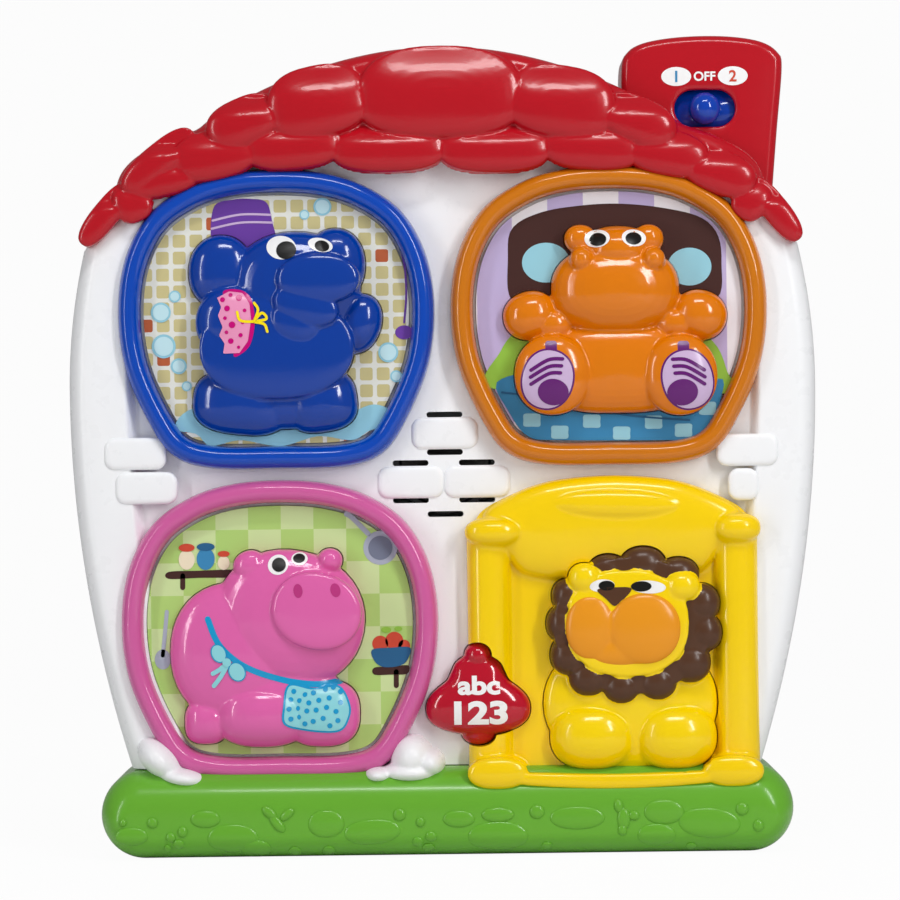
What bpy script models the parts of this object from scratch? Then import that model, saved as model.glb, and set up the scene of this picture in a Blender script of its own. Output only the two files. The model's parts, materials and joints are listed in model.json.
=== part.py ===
"""Talking activity house: an upright toy with animal press buttons in its windows and door.

Lengths are in metres, +Z is up and the front of the house faces -Y. The origin is on the ground
under the middle of the plinth. Every size below can be changed by itself.
"""
import math

import bmesh
import bpy
from mathutils import Matrix, Vector

# Shared fits
GAP = 0.0003            # between pieces that touch
RUN_GAP = 0.0006        # round a button that moves through its hole
WALL = 0.0025           # moulded wall
MERGE = 0.000002        # points closer than this are one
OVERRUN = 0.010         # how far a cutter reaches past what it cuts
PRESS_TRAVEL = 0.003    # how far a button goes in

# Plinth
PLINTH_WIDTH = 0.2540
PLINTH_HEIGHT = 0.0324
PLINTH_DEPTH = 0.0840
PLINTH_EDGE = 0.0085    # rounding of the upper front and back edges
PLINTH_LOWER_SHARE = 0.35   # rounding of the lower edges, of the upper
PLINTH_WALL = 0.0030
UNDERSIDE_THICKNESS = 0.0024
STONE_RELIEF = 0.0012
PLINTH_STONE_SHARES = (
    # x and z of the centre, then the two half axes, as shares of the plinth's width and height
    (-0.455, 0.26, 0.028, 0.15), (-0.365, 0.52, 0.024, 0.11), (-0.325, 0.27, 0.035, 0.18),
    (-0.278, 0.18, 0.022, 0.13), (-0.205, 0.50, 0.032, 0.17), (-0.133, 0.36, 0.048, 0.17),
    (0.030, 0.48, 0.028, 0.12), (0.092, 0.55, 0.028, 0.09), (0.085, 0.28, 0.050, 0.17),
    (0.205, 0.48, 0.043, 0.14), (0.332, 0.54, 0.034, 0.14), (0.318, 0.28, 0.032, 0.17),
    (0.400, 0.44, 0.054, 0.18), (-0.440, 0.62, 0.011, 0.07), (0.462, 0.62, 0.012, 0.09),
    (-0.185, 0.14, 0.011, 0.06), (0.145, 0.20, 0.011, 0.06), (0.255, 0.16, 0.011, 0.06),
)

# House body
BELLY_WIDTH = 0.2772
BELLY_HEIGHT = 0.1720
FOOT_WIDTH = 0.2324
EAVE_HEIGHT = 0.2248
HOUSE_TOP = 0.2720       # hidden under the roof
ARCH_POWER = 3.0
FACE_Y = -0.0240        # flat front face of the house
PARTING_Y = 0.0020      # where front shell and rear cover meet
BACK_Y = 0.0260         # flat back face
HOUSE_EDGE = 0.0070     # rounding of the house's front and back edges
PILLAR_WIDTH = 0.0250
PILLAR_RELIEF = 0.0042
SIDE_STEPS = 5
ARCH_STEPS = 12

# Roof
ROOF_TOP = 0.2965
ROOF_WALL = 0.0030
ROOF_WIDTH = 0.2692
EAVE_OVERHANG = 0.0032   # from the house's side to the tip of the roof
EAVE_TIP = 0.2237       # lowest point of the eave, at its ends
ROOF_FRONT_Y = -0.0310
ROOF_BACK_Y = 0.0240
TILE_RELIEF = 0.0058
EAVE_WIDTH = ROOF_WIDTH - 2 * EAVE_OVERHANG
# Places on the roof: x as a share of half its width, z as a share of its height above the tips
CREST_SHARES = (
    (0.0, 1.0), (0.131, 0.988), (0.284, 0.930), (0.438, 0.832), (0.550, 0.732), (0.629, 0.646),
    (0.665, 0.597), (0.743, 0.548), (0.821, 0.474), (0.866, 0.396), (0.886, 0.306), (0.889, 0.224),
)
EAVE_SHARES = (
    (0.869, 0.148), (0.822, 0.177), (0.780, 0.240), (0.706, 0.290), (0.594, 0.375), (0.505, 0.405),
    (0.371, 0.409), (0.282, 0.430), (0.0, 0.430),
)
ROOF_TILE_SHARES = (
    # x and z of the tile's highest point, half width, half height above it and half height below
    # it, then the turn in degrees and how far the tile stands out
    (0.003, 0.727, 0.215, 0.262, 0.186, 0, 1.00), (-0.329, 0.699, 0.131, 0.201, 0.151, 12, 0.95),
    (-0.534, 0.629, 0.098, 0.116, 0.121, 25, 0.88), (0.330, 0.685, 0.142, 0.201, 0.151, -10, 0.95),
    (0.541, 0.604, 0.103, 0.121, 0.111, -25, 0.88), (-0.140, 0.479, 0.147, 0.121, 0.111, 0, 0.80),
    (0.149, 0.472, 0.144, 0.121, 0.111, 0, 0.80), (-0.399, 0.500, 0.125, 0.121, 0.111, 4, 0.76),
    (0.415, 0.481, 0.128, 0.121, 0.111, -4, 0.76), (-0.611, 0.454, 0.112, 0.131, 0.111, 12, 0.74),
    (0.619, 0.436, 0.106, 0.121, 0.101, -12, 0.74), (-0.775, 0.453, 0.120, 0.086, 0.086, 38, 0.72),
    (-0.756, 0.342, 0.101, 0.101, 0.081, 12, 0.62), (-0.836, 0.223, 0.049, 0.101, 0.091, 25, 0.50),
    (0.760, 0.343, 0.098, 0.111, 0.101, -22, 0.70), (0.844, 0.195, 0.046, 0.101, 0.091, -40, 0.50),
)
ROOF_LEAF_SHARES = (
    # the two pointed tiles at the tips, in the same order
    (-0.910, 0.172, 0.100, 0.065, 0.065, 51, 0.45), (0.912, 0.157, 0.100, 0.065, 0.065, -53, 0.45),
)

# Chimney with the slide switch
CHIMNEY_WIDTH = 0.0594
CHIMNEY_HEIGHT = 0.0600
CHIMNEY_FROM_TIP = 0.0672   # from the chimney's left side to the tip of the roof
CHIMNEY_LEFT = ROOF_WIDTH / 2 - CHIMNEY_FROM_TIP
CHIMNEY_TOP = 0.3000
CHIMNEY_BACK_Y = 0.0120
CHIMNEY_WALL = 0.0030
CHIMNEY_OUTLINE_SHARES = (
    (0.0, 0.0), (0.0, 0.80), (0.025, 0.93), (0.11, 0.985), (0.30, 0.998), (0.50, 1.0),
    (0.70, 0.997), (0.88, 0.97), (0.975, 0.90), (1.0, 0.80), (0.915, 0.0),
)
CHIMNEY_COVER = 0.0023
CHIMNEY_EDGE = 0.0045
CHIMNEY_SEAT_SHARES = (
    # lower edge of what shows of the chimney above the tiles, as shares of its width and height
    (1.02, 0.10), (0.79, 0.17), (0.50, 0.30), (0.31, 0.40), (-0.01, 0.68),
)
SLOT_LENGTH = 0.0225
SLOT_HEIGHT = 0.0137
SLOT_FROM_LEFT = 0.0304
SLOT_X = CHIMNEY_LEFT + SLOT_FROM_LEFT
SLOT_Z = 0.2730
KNOB_RADIUS = 0.0060
SLIDER_LENGTH = 0.0318
SLIDER_HEIGHT = 0.0152
SLIDER_THICKNESS = 0.0016
SWITCH_LENGTH = 0.0300
SWITCH_HEIGHT = 0.0120
SWITCH_DEPTH = 0.0095
SWITCH_POST_RADIUS = 0.0025
SWITCH_POST_SPACING = 0.0180

# Window frames, all one shape
FRAME_WIDTH = 0.1165
FRAME_HEIGHT = 0.1100
FRAME_RING = 0.0085     # width of the moulded ring
FRAME_RELIEF = 0.0090   # how far it stands out of the house
FRAME_OUTLINE_SHARES = (
    # x as a share of the half width, z as a share of the height, right half from the top
    (0.0, 1.0), (0.30, 0.988), (0.56, 0.945), (0.80, 0.855), (0.950, 0.71), (1.0, 0.53),
    (0.955, 0.335), (0.80, 0.145), (0.655, 0.045), (0.42, 0.004), (0.0, 0.0),
)
LEFT_WINDOW_X = -0.0607
RIGHT_WINDOW_X = 0.0614
UPPER_WINDOW_Z = 0.1422
LOWER_WINDOW_Z = 0.0282
PANEL_THICKNESS = 0.0020
PANEL_MARGIN = 0.0010   # dark gap between the panel's edge and the ring
LEDGE = 0.0012          # what is left of the house wall inside the ring
CARRIER_THICKNESS = 0.0020
CARRIER_CLEARANCE = 0.0009

# Door
DOOR_X = 0.0616
DOOR_Z = 0.0245
DOOR_WIDTH = 0.1070
DOOR_HEIGHT = 0.1140
DOOR_BACK = 0.0027      # thickness of the niche's back
COLUMN_WIDTH = 0.0160
COLUMN_INSET = 0.0010
COLUMN_RELIEF = 0.0090
PEDIMENT_HEIGHT = 0.0180
PEDIMENT_RELIEF = 0.0095
PEDIMENT_SHARE = 0.36    # half width, of the door's width
SILL_HEIGHT = 0.0050
CAPITAL_WIDTH = 0.0180
CAPITAL_HEIGHT = 0.0110
KNOB_SHARES = ((0.83, 1.25), (0.055, 1.2))   # height on the door, rise over the columns
SILL_SHARE = 0.75
DOOR_OUTLINE_SHARES = (
    # x as a share of the half width, z as a share of the height, right half from the top
    (0.0, 1.0), (0.30, 0.992), (0.52, 0.972), (0.72, 0.94), (0.88, 0.895), (0.955, 0.855),
    (0.985, 0.78), (0.985, 0.45), (0.985, 0.12), (0.96, 0.04), (0.70, 0.008), (0.35, 0.0),
    (0.0, -0.004),
)
LION_CARRIER_WIDTH = 0.0680
LION_CARRIER_HEIGHT = 0.0780
LION_CARRIER_X = 0.0695
LION_CARRIER_CORNER = 0.0050
LION_CARRIER_Z = 0.0760
LION_FOOT_CLEAR = 0.0375  # below this height the lion stays in front of the house wall

# Animal reliefs: x, z, half width, half height, front, all as shares of the animal's height
# and, for the front, of the relief, measured from the animal's centre
RELIEF = 0.0135
ROUND_SHARE = 0.30      # part of the front that is straight side before the dome starts
ELEPHANT_HEIGHT = 0.0758
ELEPHANT_X = -0.0570
ELEPHANT_Z = 0.1927
ELEPHANT_LOBE_SHARES = (
    (-0.056, -0.140, 0.392, 0.228, 0.62), (0.038, 0.233, 0.318, 0.259, 0.92),
    (-0.313, 0.289, 0.159, 0.181, 0.55), (0.350, 0.033, 0.111, 0.148, 0.50),
    (0.239, 0.319, 0.148, 0.178, 0.66), (0.149, 0.262, 0.174, 0.125, 1.08),
    (0.114, 0.121, 0.148, 0.126, 1.12), (-0.253, 0.044, 0.185, 0.174, 0.92),
    (-0.225, -0.356, 0.233, 0.144, 0.80), (0.164, -0.353, 0.167, 0.137, 0.76),
)
HIPPO_HEIGHT = 0.0700
HIPPO_X = 0.0632
HIPPO_Z = 0.1953
HIPPO_LOBE_SHARES = (
    (0.015, -0.252, 0.380, 0.238, 0.70), (0.008, 0.164, 0.337, 0.232, 1.08),
    (0.023, 0.380, 0.172, 0.114, 0.84), (-0.173, 0.427, 0.084, 0.074, 0.62),
    (0.184, 0.423, 0.080, 0.076, 0.62), (-0.438, 0.030, 0.144, 0.128, 0.58),
    (0.451, 0.023, 0.144, 0.132, 0.58), (-0.330, -0.020, 0.120, 0.090, 0.50),
    (0.330, -0.020, 0.120, 0.090, 0.50), (-0.326, -0.284, 0.200, 0.210, 0.92),
    (0.341, -0.293, 0.195, 0.210, 0.92),
)
PIG_HEIGHT = 0.0747
PIG_X = -0.0650
PIG_Z = 0.0762
PIG_LOBE_SHARES = (
    (-0.159, -0.013, 0.324, 0.344, 0.70), (0.105, 0.149, 0.366, 0.330, 0.90),
    (0.243, 0.188, 0.215, 0.186, 1.12), (-0.085, 0.423, 0.076, 0.072, 0.60),
    (0.308, 0.440, 0.058, 0.056, 0.60), (0.278, -0.318, 0.172, 0.165, 0.72),
    (-0.032, -0.318, 0.234, 0.158, 0.86), (-0.300, -0.352, 0.100, 0.100, 0.52),
    (0.020, -0.256, 0.350, 0.200, 0.60),
)
LION_HEIGHT = 0.0817
LION_X = 0.0686
LION_STAND = 0.00095     # from the top of the sill to the lowest point of the feet
LION_Z = DOOR_Z + SILL_HEIGHT + LION_STAND + LION_HEIGHT / 2
LION_LOBE_SHARES = (
    (-0.012, -0.201, 0.392, 0.290, 0.55), (-0.003, 0.158, 0.262, 0.236, 0.92),
    (-0.182, 0.146, 0.121, 0.144, 1.06), (0.049, 0.138, 0.161, 0.162, 1.14),
    (-0.213, 0.359, 0.071, 0.071, 0.98), (0.226, 0.316, 0.076, 0.068, 0.98),
    (-0.184, -0.350, 0.192, 0.151, 0.92), (0.189, -0.354, 0.186, 0.151, 0.92),
)
MANE_FRONT = 0.80       # of the relief
MANE_BALL_SHARES = (
    # x and z of the centre, half width and half height, as shares of the lion's height
    (-0.298, 0.294, 0.062, 0.070), (-0.333, 0.164, 0.054, 0.072), (-0.288, 0.015, 0.083, 0.085),
    (-0.199, -0.087, 0.090, 0.085), (-0.055, -0.134, 0.084, 0.074), (0.105, -0.113, 0.088, 0.078),
    (0.258, -0.023, 0.093, 0.087), (0.332, 0.111, 0.070, 0.082), (0.324, 0.250, 0.070, 0.080),
    (0.217, 0.382, 0.086, 0.072), (0.048, 0.431, 0.102, 0.076), (-0.108, 0.412, 0.080, 0.062),
)

# Bell-shaped mode button
BELL_X = 0.0117
BELL_Z = 0.0590
BELL_HEIGHT = 0.0380
BELL_RELIEF = 0.0100
BELL_LOBE_SHARES = (
    (0.0, -0.130, 0.475, 0.255, 0.95), (0.0, 0.110, 0.345, 0.280, 1.0),
    (0.0, 0.375, 0.135, 0.125, 0.88), (0.0, -0.390, 0.170, 0.110, 0.62),
)
BELL_CARRIER_WIDTH = 0.0420
BELL_CARRIER_HEIGHT = 0.0380

# Embossed bricks and bushes on the front shell
BRICK_RELIEF = 0.0016
BRICK_WIDTH = 0.0244
BRICK_HEIGHT = 0.0118
SPEAKER_X = 0.0006
SPEAKER_Z = 0.1440
BRICK_SHARES = (
    # x and z of the centre from the speaker's centre, in brick widths and brick heights
    (0.0, 0.90), (-0.52, -0.62), (0.48, -0.62),
)
SIDE_BRICK_X = 0.1130
SIDE_BRICK_SHARES = ((-1.0, 0.37), (-0.963, -0.70), (0.988, 0.27), (0.975, -0.80))
SIDE_BRICK_WIDTH = 0.0215
SLOT_HOLE_LENGTH = 0.0132
SLOT_HOLE_HEIGHT = 0.0021
SPEAKER_SLOT_SHARES = (
    # x and z from the speaker's centre, in brick widths and brick heights
    (0.0, 1.48), (0.0, 0.31), (-0.52, -0.02), (0.48, -0.02), (-0.52, -1.18), (0.48, -1.18),
    (0.0, -1.62),
)
BUSH_RELIEF = 0.0095
BUSH_LOBE_SHARES = (
    # x and z of the centre, half width and half height, as shares of the plinth's height
    (-3.16, 1.14, 0.27, 0.22), (-2.96, 1.02, 0.24, 0.17),
    (-0.26, 1.20, 0.22, 0.23), (-0.50, 1.00, 0.25, 0.21), (-0.15, 0.98, 0.23, 0.18),
)

# Inside
BOARD_THICKNESS = 0.0016
CONTACT_BOARD_WIDTH = 0.0300
CONTACT_BOARD_HEIGHT = 0.0220
CONTACT_BOARD_Y = -0.0096
POST_RADIUS = 0.0040
STEM_RADIUS = 0.0050
PAD_RADIUS = 0.0062
PAD_HEIGHT = 0.0050
MAIN_BOARD_WIDTH = 0.0560
MAIN_BOARD_HEIGHT = 0.0360
MAIN_BOARD_X = 0.0030
MAIN_BOARD_Z = 0.1030
MAIN_BOARD_Y = -0.0030
MAIN_POST_SPACING = 0.0220
SPEAKER_RADIUS = 0.0190
SPEAKER_FLANGE = 0.0016
SPEAKER_BOWL_RADIUS = 0.0105
SPEAKER_DEPTH = 0.0085
SPEAKER_WALL = 0.0010
CONE_RADIUS = 0.0160
MAGNET_RADIUS = 0.0100
MAGNET_DEPTH = 0.0045

# Batteries
CELL_RADIUS = 0.00725
CELL_LENGTH = 0.0490
CELL_NUB_RADIUS = 0.0027
CELL_NUB = 0.0014
CELL_PITCH = 0.0153
CELL_COUNT = 3
BATTERY_Z = 0.0960
CONTACT_SPACE = 0.0044
CONTACT_THICKNESS = 0.0008
CONTACT_BUMP = 0.0024
DOOR_PLATE_THICKNESS = 0.0022
DOOR_REBATE = 0.0036
DOOR_HEAD = 0.0085      # extra ledge above the cells, for the screw
BATTERY_DOOR_TRAVEL_CLEAR = 0.0003
BATTERY_SCREW_RADIUS = 0.0028
BATTERY_SCREW_LENGTH = 0.0060

# Case screws
SCREW_HEAD_RADIUS = 0.0032
SCREW_HEAD = 0.0020
SCREW_SHAFT_RADIUS = 0.0014
SCREW_BITE = 0.0080
SCREW_RECESS = 0.0040
BOSS_RADIUS = 0.0044
CASE_SCREWS = (
    # distance of a pair of screws from the house's sides, then their height
    (0.0163, 0.2470), (0.0139, 0.1470), (0.0114, 0.0430),
)

ROUND_SIDES = 10
POST_SIDES = 8
LOBE_SIDES = 12
SMALL_LOBE_SIDES = 8
SMALL_LOBE = 0.0105     # lobes with a smaller half width have fewer sides and rings
DOME_RINGS = 3
SMALL_DOME_RINGS = 2
ROUND_STEPS = 2

PANEL_BACK_Y = FACE_Y - GAP
PANEL_FRONT_Y = PANEL_BACK_Y - PANEL_THICKNESS
CARRIER_FRONT_Y = PANEL_BACK_Y + GAP + GAP
CARRIER_BACK_Y = CARRIER_FRONT_Y + CARRIER_THICKNESS
HOUSE_FOOT = PLINTH_HEIGHT + GAP
CHIMNEY_FRONT_Y = FACE_Y
FAR_Y = 10 * OVERRUN


def clear_scene():
    """Remove whatever the scene holds."""
    for obj in list(bpy.data.objects):
        bpy.data.objects.remove(obj, do_unlink=True)


def material(name, colour, roughness=0.3, metallic=0.0):
    """A plain finish with the part's colour."""
    mat = bpy.data.materials.get(name) or bpy.data.materials.new(name)
    mat.use_nodes = True
    shader = mat.node_tree.nodes["Principled BSDF"]
    shader.inputs["Base Color"].default_value = (*colour, 1.0)
    shader.inputs["Roughness"].default_value = roughness
    shader.inputs["Metallic"].default_value = metallic
    mat.diffuse_color = (*colour, 1.0)
    return mat


def from_bmesh(name, bm):
    """Turn a bmesh into an object with its faces pointing out."""
    bmesh.ops.remove_doubles(bm, verts=bm.verts, dist=MERGE)
    bmesh.ops.recalc_face_normals(bm, faces=bm.faces)
    mesh = bpy.data.meshes.new(name)
    bm.to_mesh(mesh)
    bm.free()
    obj = bpy.data.objects.new(name, mesh)
    bpy.context.collection.objects.link(obj)
    return obj


def loft(name, loops, closed=False):
    """Skin through loops of (x, y, z) with equal counts; closed joins the last to the first."""
    bm = bmesh.new()
    rings = [[bm.verts.new(point) for point in loop] for loop in loops]
    pairs = list(zip(rings, rings[1:])) + ([(rings[-1], rings[0])] if closed else [])
    for low, high in pairs:
        for i in range(len(low)):
            j = (i + 1) % len(low)
            bm.faces.new((low[i], low[j], high[j], high[i]))
    if not closed:
        bm.faces.new(list(reversed(rings[0])))
        bm.faces.new(rings[-1])
    return from_bmesh(name, bm)


def at_y(outline, y):
    """Place an outline of (x, z) points at depth y."""
    return [(x, y, z) for x, z in outline]


def prism(name, outline, y_front, y_back):
    """Extrude an outline along Y."""
    return loft(name, [at_y(outline, y_front), at_y(outline, y_back)])


def lathe(name, profile, centre, axis="Y", sides=ROUND_SIDES):
    """Turn (radius, along) points round an axis through centre; the ends close on the axis."""
    loops = []
    for radius, along in profile:
        loop = []
        for i in range(sides):
            turn = 2 * math.pi * i / sides
            u, v = radius * math.cos(turn), radius * math.sin(turn)
            point = {"X": (along, u, v), "Y": (u, along, v), "Z": (u, v, along)}[axis]
            loop.append(tuple(Vector(centre) + Vector(point)))
        loops.append(loop)
    return loft(name, loops)


def block(name, low, high, bevel=0.0):
    """A box between two corners, its edges rounded by bevel."""
    bm = bmesh.new()
    bmesh.ops.create_cube(bm, size=1.0)
    size = [h - l for l, h in zip(low, high)]
    bmesh.ops.scale(bm, vec=size, verts=bm.verts)
    bmesh.ops.translate(bm, vec=[(l + h) / 2 for l, h in zip(low, high)], verts=bm.verts)
    if bevel:
        bmesh.ops.bevel(bm, geom=bm.edges[:], offset=bevel, segments=1, affect="EDGES")
    return from_bmesh(name, bm)


def combine(obj, others, operation):
    """Apply Booleans of the others to obj, and remove the others."""
    for other in others:
        mod = obj.modifiers.new(operation.lower(), "BOOLEAN")
        mod.operation = operation
        mod.object = other
        mod.solver = "EXACT"
        evaluated = obj.evaluated_get(bpy.context.evaluated_depsgraph_get())
        mesh = bpy.data.meshes.new_from_object(evaluated)
        obj.modifiers.clear()
        old = obj.data
        obj.data = mesh
        bpy.data.meshes.remove(old)
        bpy.data.objects.remove(other, do_unlink=True)
    bm = bmesh.new()
    bm.from_mesh(obj.data)
    bmesh.ops.remove_doubles(bm, verts=bm.verts, dist=MERGE)
    bmesh.ops.dissolve_degenerate(bm, edges=bm.edges, dist=MERGE)
    bm.to_mesh(obj.data)
    bm.free()
    return obj


def join(obj, *others):
    """Fuse solids into obj."""
    return combine(obj, others, "UNION")


def cut(obj, *others):
    """Cut solids out of obj."""
    return combine(obj, others, "DIFFERENCE")


def keep_largest(obj):
    """Drop the offcuts that a cut left between an animal's lobes."""
    bm = bmesh.new()
    bm.from_mesh(obj.data)
    left = set(bm.verts)
    groups = []
    while left:
        stack = [left.pop()]
        group = list(stack)
        while stack:
            for edge in stack.pop().link_edges:
                for vert in edge.verts:
                    if vert in left:
                        left.remove(vert)
                        stack.append(vert)
                        group.append(vert)
        groups.append(group)
    groups.sort(key=len)
    bmesh.ops.delete(bm, geom=[vert for group in groups[:-1] for vert in group], context="VERTS")
    bm.to_mesh(obj.data)
    bm.free()
    return obj


def smooth_loop(points, per_span):
    """Closed Catmull-Rom curve through (x, z) points."""
    loop = []
    count = len(points)
    for i in range(count):
        p0, p1, p2, p3 = (Vector(points[(i + k) % count]) for k in (-1, 0, 1, 2))
        for step in range(per_span):
            t = step / per_span
            loop.append(tuple(0.5 * (2 * p1 + (p2 - p0) * t + (2 * p0 - 5 * p1 + 4 * p2 - p3) * t ** 2
                                     + (3 * p1 - p0 - 3 * p2 + p3) * t ** 3)))
    return loop


def mirrored(shares, width, height, x, z):
    """Full outline from the shares of its right half, top to bottom."""
    right = [(x + sx * width / 2, z + sz * height) for sx, sz in shares]
    left = [(2 * x - px, pz) for px, pz in right[-2:0:-1]]
    return right + left


def inset(outline, distance):
    """Move each point of a clockwise or anticlockwise outline inwards along its normal."""
    area = sum(a[0] * b[1] - b[0] * a[1] for a, b in zip(outline, outline[1:] + outline[:1]))
    side = 1 if area > 0 else -1
    moved = []
    for i, point in enumerate(outline):
        before, after = Vector(outline[i - 1]), Vector(outline[(i + 1) % len(outline)])
        here = Vector(point)
        a, b = (here - before).normalized(), (after - here).normalized()
        normal = Vector((-(a + b)[1], (a + b)[0])).normalized() * side
        stretch = max(normal.dot(Vector((-a[1], a[0])) * side), 0.5)
        moved.append(tuple(here + normal * (distance / stretch)))
    return moved


def window_outline(x, z, distance=0.0, per_span=2):
    """Outline of a window frame at x, with its lowest point at z, drawn in by a distance."""
    loop = smooth_loop(mirrored(FRAME_OUTLINE_SHARES, FRAME_WIDTH, FRAME_HEIGHT, x, z), per_span)
    return inset(loop, distance)


def oval(x, z, half_width, half_height, sides=None):
    """An ellipse in the front plane."""
    sides = sides or (SMALL_LOBE_SIDES if half_width < SMALL_LOBE else LOBE_SIDES)
    return [(x + half_width * math.cos(2 * math.pi * i / sides),
             z + half_height * math.sin(2 * math.pi * i / sides)) for i in range(sides)]


def stadium(x, z, length, height, sides=5):
    """A slot with round ends, along X."""
    radius, run = height / 2, (length - height) / 2
    points = []
    for centre, start in ((run, -90), (-run, 90)):
        for i in range(sides + 1):
            turn = math.radians(start + 180 * i / sides)
            points.append((x + centre + radius * math.cos(turn), z + radius * math.sin(turn)))
    return points


def rounded_box(x, z, width, height, radius, steps=3):
    """A rectangle with round corners in the front plane."""
    points = []
    for sx, sz, start in ((1, 1, 0), (-1, 1, 90), (-1, -1, 180), (1, -1, 270)):
        for i in range(steps + 1):
            turn = math.radians(start + 90 * i / steps)
            points.append((x + sx * (width / 2 - radius) + radius * math.cos(turn),
                           z + sz * (height / 2 - radius) + radius * math.sin(turn)))
    return points


def dome(name, x, z, half_width, half_height, back, edge, front, sides=None):
    """A lobe: straight sides from back to edge, then rounded over to front."""
    small = half_width < SMALL_LOBE
    sides = sides or (SMALL_LOBE_SIDES if small else LOBE_SIDES)
    rings_count = SMALL_DOME_RINGS if small else DOME_RINGS
    loops = [at_y(oval(x, z, half_width, half_height, sides), back)]
    for ring in range(rings_count):
        turn = math.pi / 2 * ring / rings_count
        loops.append(at_y(oval(x, z, half_width * math.cos(turn), half_height * math.cos(turn), sides),
                          edge + (front - edge) * math.sin(turn)))
    bm = bmesh.new()
    rings = [[bm.verts.new(point) for point in loop] for loop in loops]
    for low, high in zip(rings, rings[1:]):
        for i in range(sides):
            j = (i + 1) % sides
            bm.faces.new((low[i], low[j], high[j], high[i]))
    bm.faces.new(rings[0])
    tip = bm.verts.new((x, front, z))
    for i in range(sides):
        bm.faces.new((rings[-1][i], rings[-1][(i + 1) % sides], tip))
    return from_bmesh(name, bm)


def tile_loop(share, scale=1.0, extra=0.0):
    """Outline of a roof tile about its highest point, which lies nearer to its lower edge."""
    x, z = roof_point(share)
    half_width = share[2] * ROOF_WIDTH / 2 * scale + extra
    up, down = (part * (ROOF_TOP - EAVE_TIP) * scale + extra for part in share[3:5])
    turn = math.radians(share[5])
    loop = []
    for i in range(LOBE_SIDES):
        across, rise = math.cos(2 * math.pi * i / LOBE_SIDES), math.sin(2 * math.pi * i / LOBE_SIDES)
        u, v = half_width * across, (up if rise > 0 else down) * rise
        loop.append((x + u * math.cos(turn) - v * math.sin(turn),
                     z + u * math.sin(turn) + v * math.cos(turn)))
    return loop


def tile(share, back):
    """A puffy roof tile with straight sides up to its edge."""
    edge, front = ROOF_FRONT_Y - TILE_RELIEF / 4, ROOF_FRONT_Y - TILE_RELIEF * share[6]
    loops = [at_y(tile_loop(share), back)]
    for ring in range(DOME_RINGS + 1):
        over = math.pi / 2 * min(ring / DOME_RINGS, 0.96)
        loops.append(at_y(tile_loop(share, math.cos(over)), edge + (front - edge) * math.sin(over)))
    return loft("tile", loops)


def lobes_of(shares, x, z, size):
    """Real places and half axes of an animal's lobes: x, z, half width, half height, front."""
    return [(x + sx * size, z + sz * size, rx * size, rz * size, front)
            for sx, sz, rx, rz, front in shares]


ELEPHANT_LOBES = lobes_of(ELEPHANT_LOBE_SHARES, ELEPHANT_X, ELEPHANT_Z, ELEPHANT_HEIGHT)
HIPPO_LOBES = lobes_of(HIPPO_LOBE_SHARES, HIPPO_X, HIPPO_Z, HIPPO_HEIGHT)
PIG_LOBES = lobes_of(PIG_LOBE_SHARES, PIG_X, PIG_Z, PIG_HEIGHT)
LION_LOBES = lobes_of(LION_LOBE_SHARES[:1] + tuple(ball + (MANE_FRONT,) for ball in MANE_BALL_SHARES)
                      + LION_LOBE_SHARES[1:], LION_X, LION_Z, LION_HEIGHT)
BELL_LOBES = lobes_of(BELL_LOBE_SHARES, BELL_X, BELL_Z, BELL_HEIGHT)


def silhouette(lobes, extra, y_front, y_back):
    """Cutters in the outline of the lobes, each wider by extra."""
    return [prism("cutter", oval(x, z, rx + extra, rz + extra), y_front, y_back)
            for x, z, rx, rz, _ in lobes]


def relief(name, lobes, back, base, height):
    """Fuse domed lobes that stand out of base into one solid that reaches back."""
    solids = [dome(name, x, z, rx, rz, back, base - height * front * ROUND_SHARE, base - height * front)
              for x, z, rx, rz, front in lobes]
    return join(solids[0], *solids[1:])


def set_origin(obj, point):
    """Move an object's origin to a point of the world, with its solid left where it is."""
    obj.data.transform(Matrix.Translation(-Vector(point)))
    obj.location = point


def finish(obj, name, colour, angle=35):
    """Name a piece, give it its finish and shade it by angle."""
    obj.name = name
    obj.data.name = name
    obj.data.materials.clear()
    obj.data.materials.append(colour)
    for polygon in obj.data.polygons:
        polygon.material_index = 0
    obj.data.shade_smooth()
    obj.data.set_sharp_from_angle(angle=math.radians(angle))
    return obj


def house_half_width(z):
    """Half width of the white body at height z."""
    belly, foot, eave = BELLY_WIDTH / 2, FOOT_WIDTH / 2, EAVE_WIDTH / 2
    if z < BELLY_HEIGHT:
        return belly - (belly - foot) * ((BELLY_HEIGHT - z) / (BELLY_HEIGHT - HOUSE_FOOT)) ** 2
    if z > EAVE_HEIGHT:
        return eave * ((HOUSE_TOP - z) / (HOUSE_TOP - EAVE_HEIGHT)) ** (1 / ARCH_POWER)
    return belly - (belly - eave) * ((z - BELLY_HEIGHT) / (EAVE_HEIGHT - BELLY_HEIGHT)) ** 2


def house_outline(distance=0.0):
    """Outline of the white body, drawn in by a distance."""
    half = EAVE_WIDTH / 2
    right = []
    for i in range(SIDE_STEPS + 1):
        z = HOUSE_FOOT + (EAVE_HEIGHT - HOUSE_FOOT) * i / SIDE_STEPS
        right.append((house_half_width(z), z))
    arch = []
    for i in range(1, ARCH_STEPS):
        across = math.cos(math.pi * i / ARCH_STEPS)
        arch.append((half * across, HOUSE_TOP - (HOUSE_TOP - EAVE_HEIGHT) * abs(across) ** ARCH_POWER))
    left = [(-x, z) for x, z in reversed(right)]
    return inset(right + arch + left, distance)


def roof_point(share):
    """Real place of a pair of shares on the roof."""
    return share[0] * ROOF_WIDTH / 2, EAVE_TIP + share[1] * (ROOF_TOP - EAVE_TIP)


def both_sides(points):
    """Follow the right half of an outline, given from its middle, by the left half."""
    return points[::-1] + [(-x, z) for x, z in points[1:]]


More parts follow.
